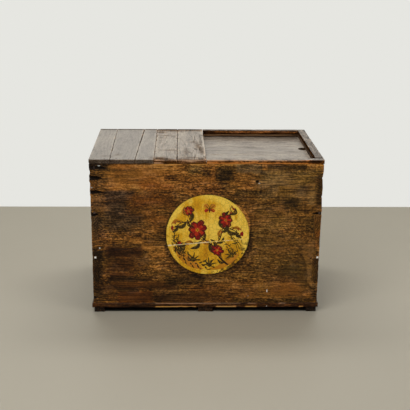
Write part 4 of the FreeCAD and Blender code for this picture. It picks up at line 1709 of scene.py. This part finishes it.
class CHEST_OT_splashes(bpy.types.Operator):
    """Builds small dried splashes of limewash on the front"""

    bl_idname = "chest.splashes"
    bl_label = "Limewash splashes"

    def execute(self, context):
        lime = context.scene.chest_colours.lime
        work = bmesh.new()
        for number, splash in enumerate(SPLASHES):
            dried_splash(work, splash, number)
        bmesh.ops.recalc_face_normals(work, faces=work.faces)
        mesh = finished_mesh(work, "limewash_splashes")
        soil = np.repeat([splash.soil for splash in SPLASHES], 2 * SPLASH_CORNERS + 1)
        write_attributes(mesh, {"tone": soil})
        wash = paint("limewash", lime, [share * 0.3 for share in lime], -0.04)
        new_piece("limewash_splashes", mesh, wash, "medallion_upper", in_place=False)
        return {"FINISHED"}


def dried_splash(work, splash, seed):
    """A low, ragged dome that is set into the wood."""
    board = "bottom_board_1" if splash.up < 0 else "front_board_upper"
    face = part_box(board)[0][1] + SPLASH_RISE
    ragged = []
    for along, up in circle(SPLASH_CORNERS):
        turn = math.atan2(up, along)
        reach = 0.5 + 0.14 * math.sin(3 * turn + seed) + 0.08 * math.sin(5 * turn + 2 * seed)
        ragged.append((along * reach, up * reach))
    flat = outlined(splash.x, splash.up, splash.width, splash.height, ragged)
    middle_x, middle_z = front_point(splash.x, splash.up)
    crown = work.verts.new((middle_x, face - SPLASH_RISE, middle_z))
    rim = [work.verts.new((x, face, z)) for x, z in flat]
    root = [work.verts.new((x, face + SPLASH_ROOT, z)) for x, z in flat]
    for corner in range(SPLASH_CORNERS):
        following = (corner + 1) % SPLASH_CORNERS
        work.faces.new((crown, rim[corner], rim[following]))
        work.faces.new((rim[corner], root[corner], root[following], rim[following]))
    work.faces.new(root)


class CHEST_OT_fasteners(bpy.types.Operator):
    """Builds the forged nails and finishes the pegs"""

    bl_idname = "chest.fasteners"
    bl_label = "Nails and pegs"

    def execute(self, context):
        iron = forged_iron()
        bamboo = split_bamboo()
        for name, node in frame["nodes"].items():
            if name.endswith("_nails"):
                forged_nails(name, iron)
            elif name.endswith("_pegs"):
                node.data.materials.clear()
                node.data.materials.append(bamboo)
        return {"FINISHED"}


BRIGHT_BELOW = 249 * MM  # the corner nails below this height are rubbed bright
BRIGHT_IRON, DULL_IRON = 0.9, -0.3
NAIL_ARRIS = 0.3 * MM


def forged_nails(node, iron):
    """Nails with softened, hammered heads."""
    work = node_work(node)
    merge_flat(work)
    round_edges(work, work.edges[:], NAIL_ARRIS)
    heights = points_of(work.verts)[:, 2] - WALL_FOOT
    rubbed = (heights < BRIGHT_BELOW) & (node == "corner_nails")
    mesh = finished_mesh(work, f"forged_{node}", smooth=False)
    write_attributes(mesh, {"bright": np.where(rubbed, BRIGHT_IRON, DULL_IRON)})
    new_piece(f"forged_{node}", mesh, iron, node)


class CHEST_OT_stage(bpy.types.Operator):
    """Builds the floor, the backdrop, the lights and the camera"""

    bl_idname = "chest.stage"
    bl_label = "Stage"

    def execute(self, context):
        stage = context.scene.chest_stage
        build_floor(stage)
        build_wall(stage)
        build_lights(stage)
        build_camera(context.scene)
        context.scene.view_settings.view_transform = "Standard"
        return {"FINISHED"}


STAGE_REACH, WALL_TOP = 9.0, 6.0
FLOOR_DROP = 0.3 * MM


def stage_sheet(name, corners, material):
    """A flat sheet of the stage."""
    mesh = bpy.data.meshes.new(name)
    mesh.from_pydata(corners, [], [range(len(corners))])
    mesh.materials.append(material)
    put_in_scene(name, mesh)


# painted shadow: the floor is coloured near black under the chest, so the gap beneath it looks dark
UNDER_INSET, UNDER_SOFT = 8 * MM, 12 * MM
PAINTED_SHADOW_COLOUR = (0.02, 0.018, 0.015)


def painted_shadow_under_chest(finish, place):
    """Where a painted shadow darkens the floor under the chest, a little inside its outline."""
    mask = 1.0
    for axis, low, high in zip("XY", *CAD_BOX):
        here = finish.along(place, axis)
        mask = here.between(low + UNDER_INSET, low + UNDER_INSET + UNDER_SOFT) * mask
        mask = here.between(high - UNDER_INSET, high - UNDER_INSET - UNDER_SOFT) * mask
    return mask


def build_floor(stage):
    finish = Finish("pale_floor")
    place = finish.here()
    cloud = finish.noise(place, (1.5, 1.5, 1.5), 4)
    shade = finish.mix(cloud, [c * 0.94 for c in stage.floor], stage.floor)
    # painted shadow under the chest
    shade = finish.mix(painted_shadow_under_chest(finish, place), shade, PAINTED_SHADOW_COLOUR)
    material = finish.finished(Base_Color=shade, Roughness=0.6)
    turns = ((-1, -1), (1, -1), (1, 1), (-1, 1))
    corners = [(x * STAGE_REACH, y * STAGE_REACH, -FLOOR_DROP) for x, y in turns]
    stage_sheet("stage_floor", corners, material)


def build_wall(stage):
    """A wall that shows its own colour to the camera and in gloss, and nothing at all from behind."""
    finish = Finish("pale_wall")
    finish.finished(Base_Color=(*stage.wall, 1), Roughness=0.9)
    glow = finish.node("ShaderNodeEmission", None, {"Color": (*stage.wall, 1), "Strength": 1.0})
    body = Value(finish, finish.shader.outputs[0])
    shown = finish.node("ShaderNodeMixShader", None, {0: seen_rays(finish), 1: body, 2: glow})
    behind = finish.node("ShaderNodeNewGeometry", output="Backfacing")
    clear = finish.node("ShaderNodeBsdfTransparent")
    shown = finish.node("ShaderNodeMixShader", None, {0: behind, 1: shown, 2: clear})
    finish.feed(finish.tree.nodes["Material Output"].inputs["Surface"], shown)
    low = [(x, stage.wall_distance, -FLOOR_DROP) for x in (-STAGE_REACH, STAGE_REACH)]
    high = [(x, stage.wall_distance, WALL_TOP) for x in (STAGE_REACH, -STAGE_REACH)]
    stage_sheet("stage_wall", low + high, finish.material)


SKY_COLOUR = (1.0, 0.99, 0.97)


def seen_rays(finish):
    """1 for the rays by which a backdrop is seen, straight or in gloss, and 0 for the rest."""
    rays = ("Is Camera Ray", "Is Glossy Ray", "Is Transmission Ray")
    return sum(finish.node("ShaderNodeLightPath", output=ray) for ray in rays).clamped()


def build_lights(stage):
    world = bpy.data.worlds.new("soft_sky")
    world.use_nodes = True
    bpy.context.scene.world = world
    sky = Finish(tree=world.node_tree)
    height = sky.along(sky.node("ShaderNodeTexCoord", output="Generated"), "Z")
    seen = seen_rays(sky)
    background = world.node_tree.nodes["Background"]
    sky.feed(background.inputs["Color"], sky.mix(seen, SKY_COLOUR, stage.wall))
    overhead = height.between(0.0, 0.8) * 0.92 + 0.08
    sky.feed(background.inputs["Strength"], seen + (1 - seen) * overhead * stage.sky)
    soft_light("key_light", (-1.6, -2.6, 2.8), (2.6, 2.6), stage.key_power)
    soft_light("fill_light", (2.6, -2.0, 2.4), (2.0, 2.0), stage.fill_power)
    soft_light("top_light", (0.0, 0.95, 2.5), (2.0, 0.9), stage.top_power)


def soft_light(name, place, size, power):
    """A large lamp that faces the middle of the chest."""
    lamp = bpy.data.lights.new(name, "AREA")
    lamp.shape = "RECTANGLE"
    lamp.size, lamp.size_y = size
    lamp.energy = power
    light = put_in_scene(name, lamp)
    light.location = place
    middle = (Vector(CAD_BOX[0]) + Vector(CAD_BOX[1])) / 2
    light.rotation_euler = (middle - light.location).to_track_quat("-Z", "Y").to_euler()
    light.visible_camera = False


CAMERA_PLACE = Vector((-0.1045, -3.3717, 1.2733))
CAMERA_PITCH, CAMERA_YAW, CAMERA_ROLL = -0.2749, -0.0319, 0.0099  # radians
CAMERA_LENS, CAMERA_SENSOR = 81.9, 36.0


def build_camera(scene):
    """The photograph's viewpoint."""
    camera = bpy.data.cameras.new("camera")
    camera.lens = CAMERA_LENS
    camera.sensor_width = CAMERA_SENSOR
    holder = put_in_scene("camera", camera)
    turn = Matrix.Rotation(CAMERA_YAW, 4, "Z") @ Matrix.Rotation(math.pi / 2 + CAMERA_PITCH, 4, "X")
    holder.matrix_world = Matrix.Translation(CAMERA_PLACE) @ turn @ Matrix.Rotation(CAMERA_ROLL, 4, "Z")
    scene.camera = holder


class CHEST_PT_panel(bpy.types.Panel):
    """Settings of the chest and the steps that build it"""

    bl_idname = "CHEST_PT_panel"
    bl_label = "Worn plank chest"
    bl_space_type = "VIEW_3D"
    bl_region_type = "UI"
    bl_category = "Chest"

    def draw(self, context):
        for group in SETTINGS:
            box = self.layout.box()
            settings = getattr(context.scene, group)
            for name in settings.__annotations__:
                box.prop(settings, name)
        for step in STEPS:
            self.layout.operator(step.bl_idname)


SETTINGS = {"chest_wear": ChestWear, "chest_colours": ChestColours, "chest_stage": ChestStage}
STEPS = (
    CHEST_OT_front_boards,
    CHEST_OT_side_boards,
    CHEST_OT_back_boards,
    CHEST_OT_top_planks,
    CHEST_OT_rim_rails,
    CHEST_OT_bottom,
    CHEST_OT_lid,
    CHEST_OT_panel,
    CHEST_OT_spray,
    CHEST_OT_splashes,
    CHEST_OT_fasteners,
    CHEST_OT_stage,
)


def register():
    for cls in (*SETTINGS.values(), *STEPS, CHEST_PT_panel):
        bpy.utils.register_class(cls)
    for name, group in SETTINGS.items():
        setattr(bpy.types.Scene, name, PointerProperty(type=group))


def unregister():
    for name in SETTINGS:
        delattr(bpy.types.Scene, name)
    for cls in reversed((*SETTINGS.values(), *STEPS, CHEST_PT_panel)):
        bpy.utils.unregister_class(cls)


def main():
    register()
    for step in STEPS:
        family, name = step.bl_idname.split(".")
        getattr(getattr(bpy.ops, family), name)()


if __name__ == "__main__":
    main()
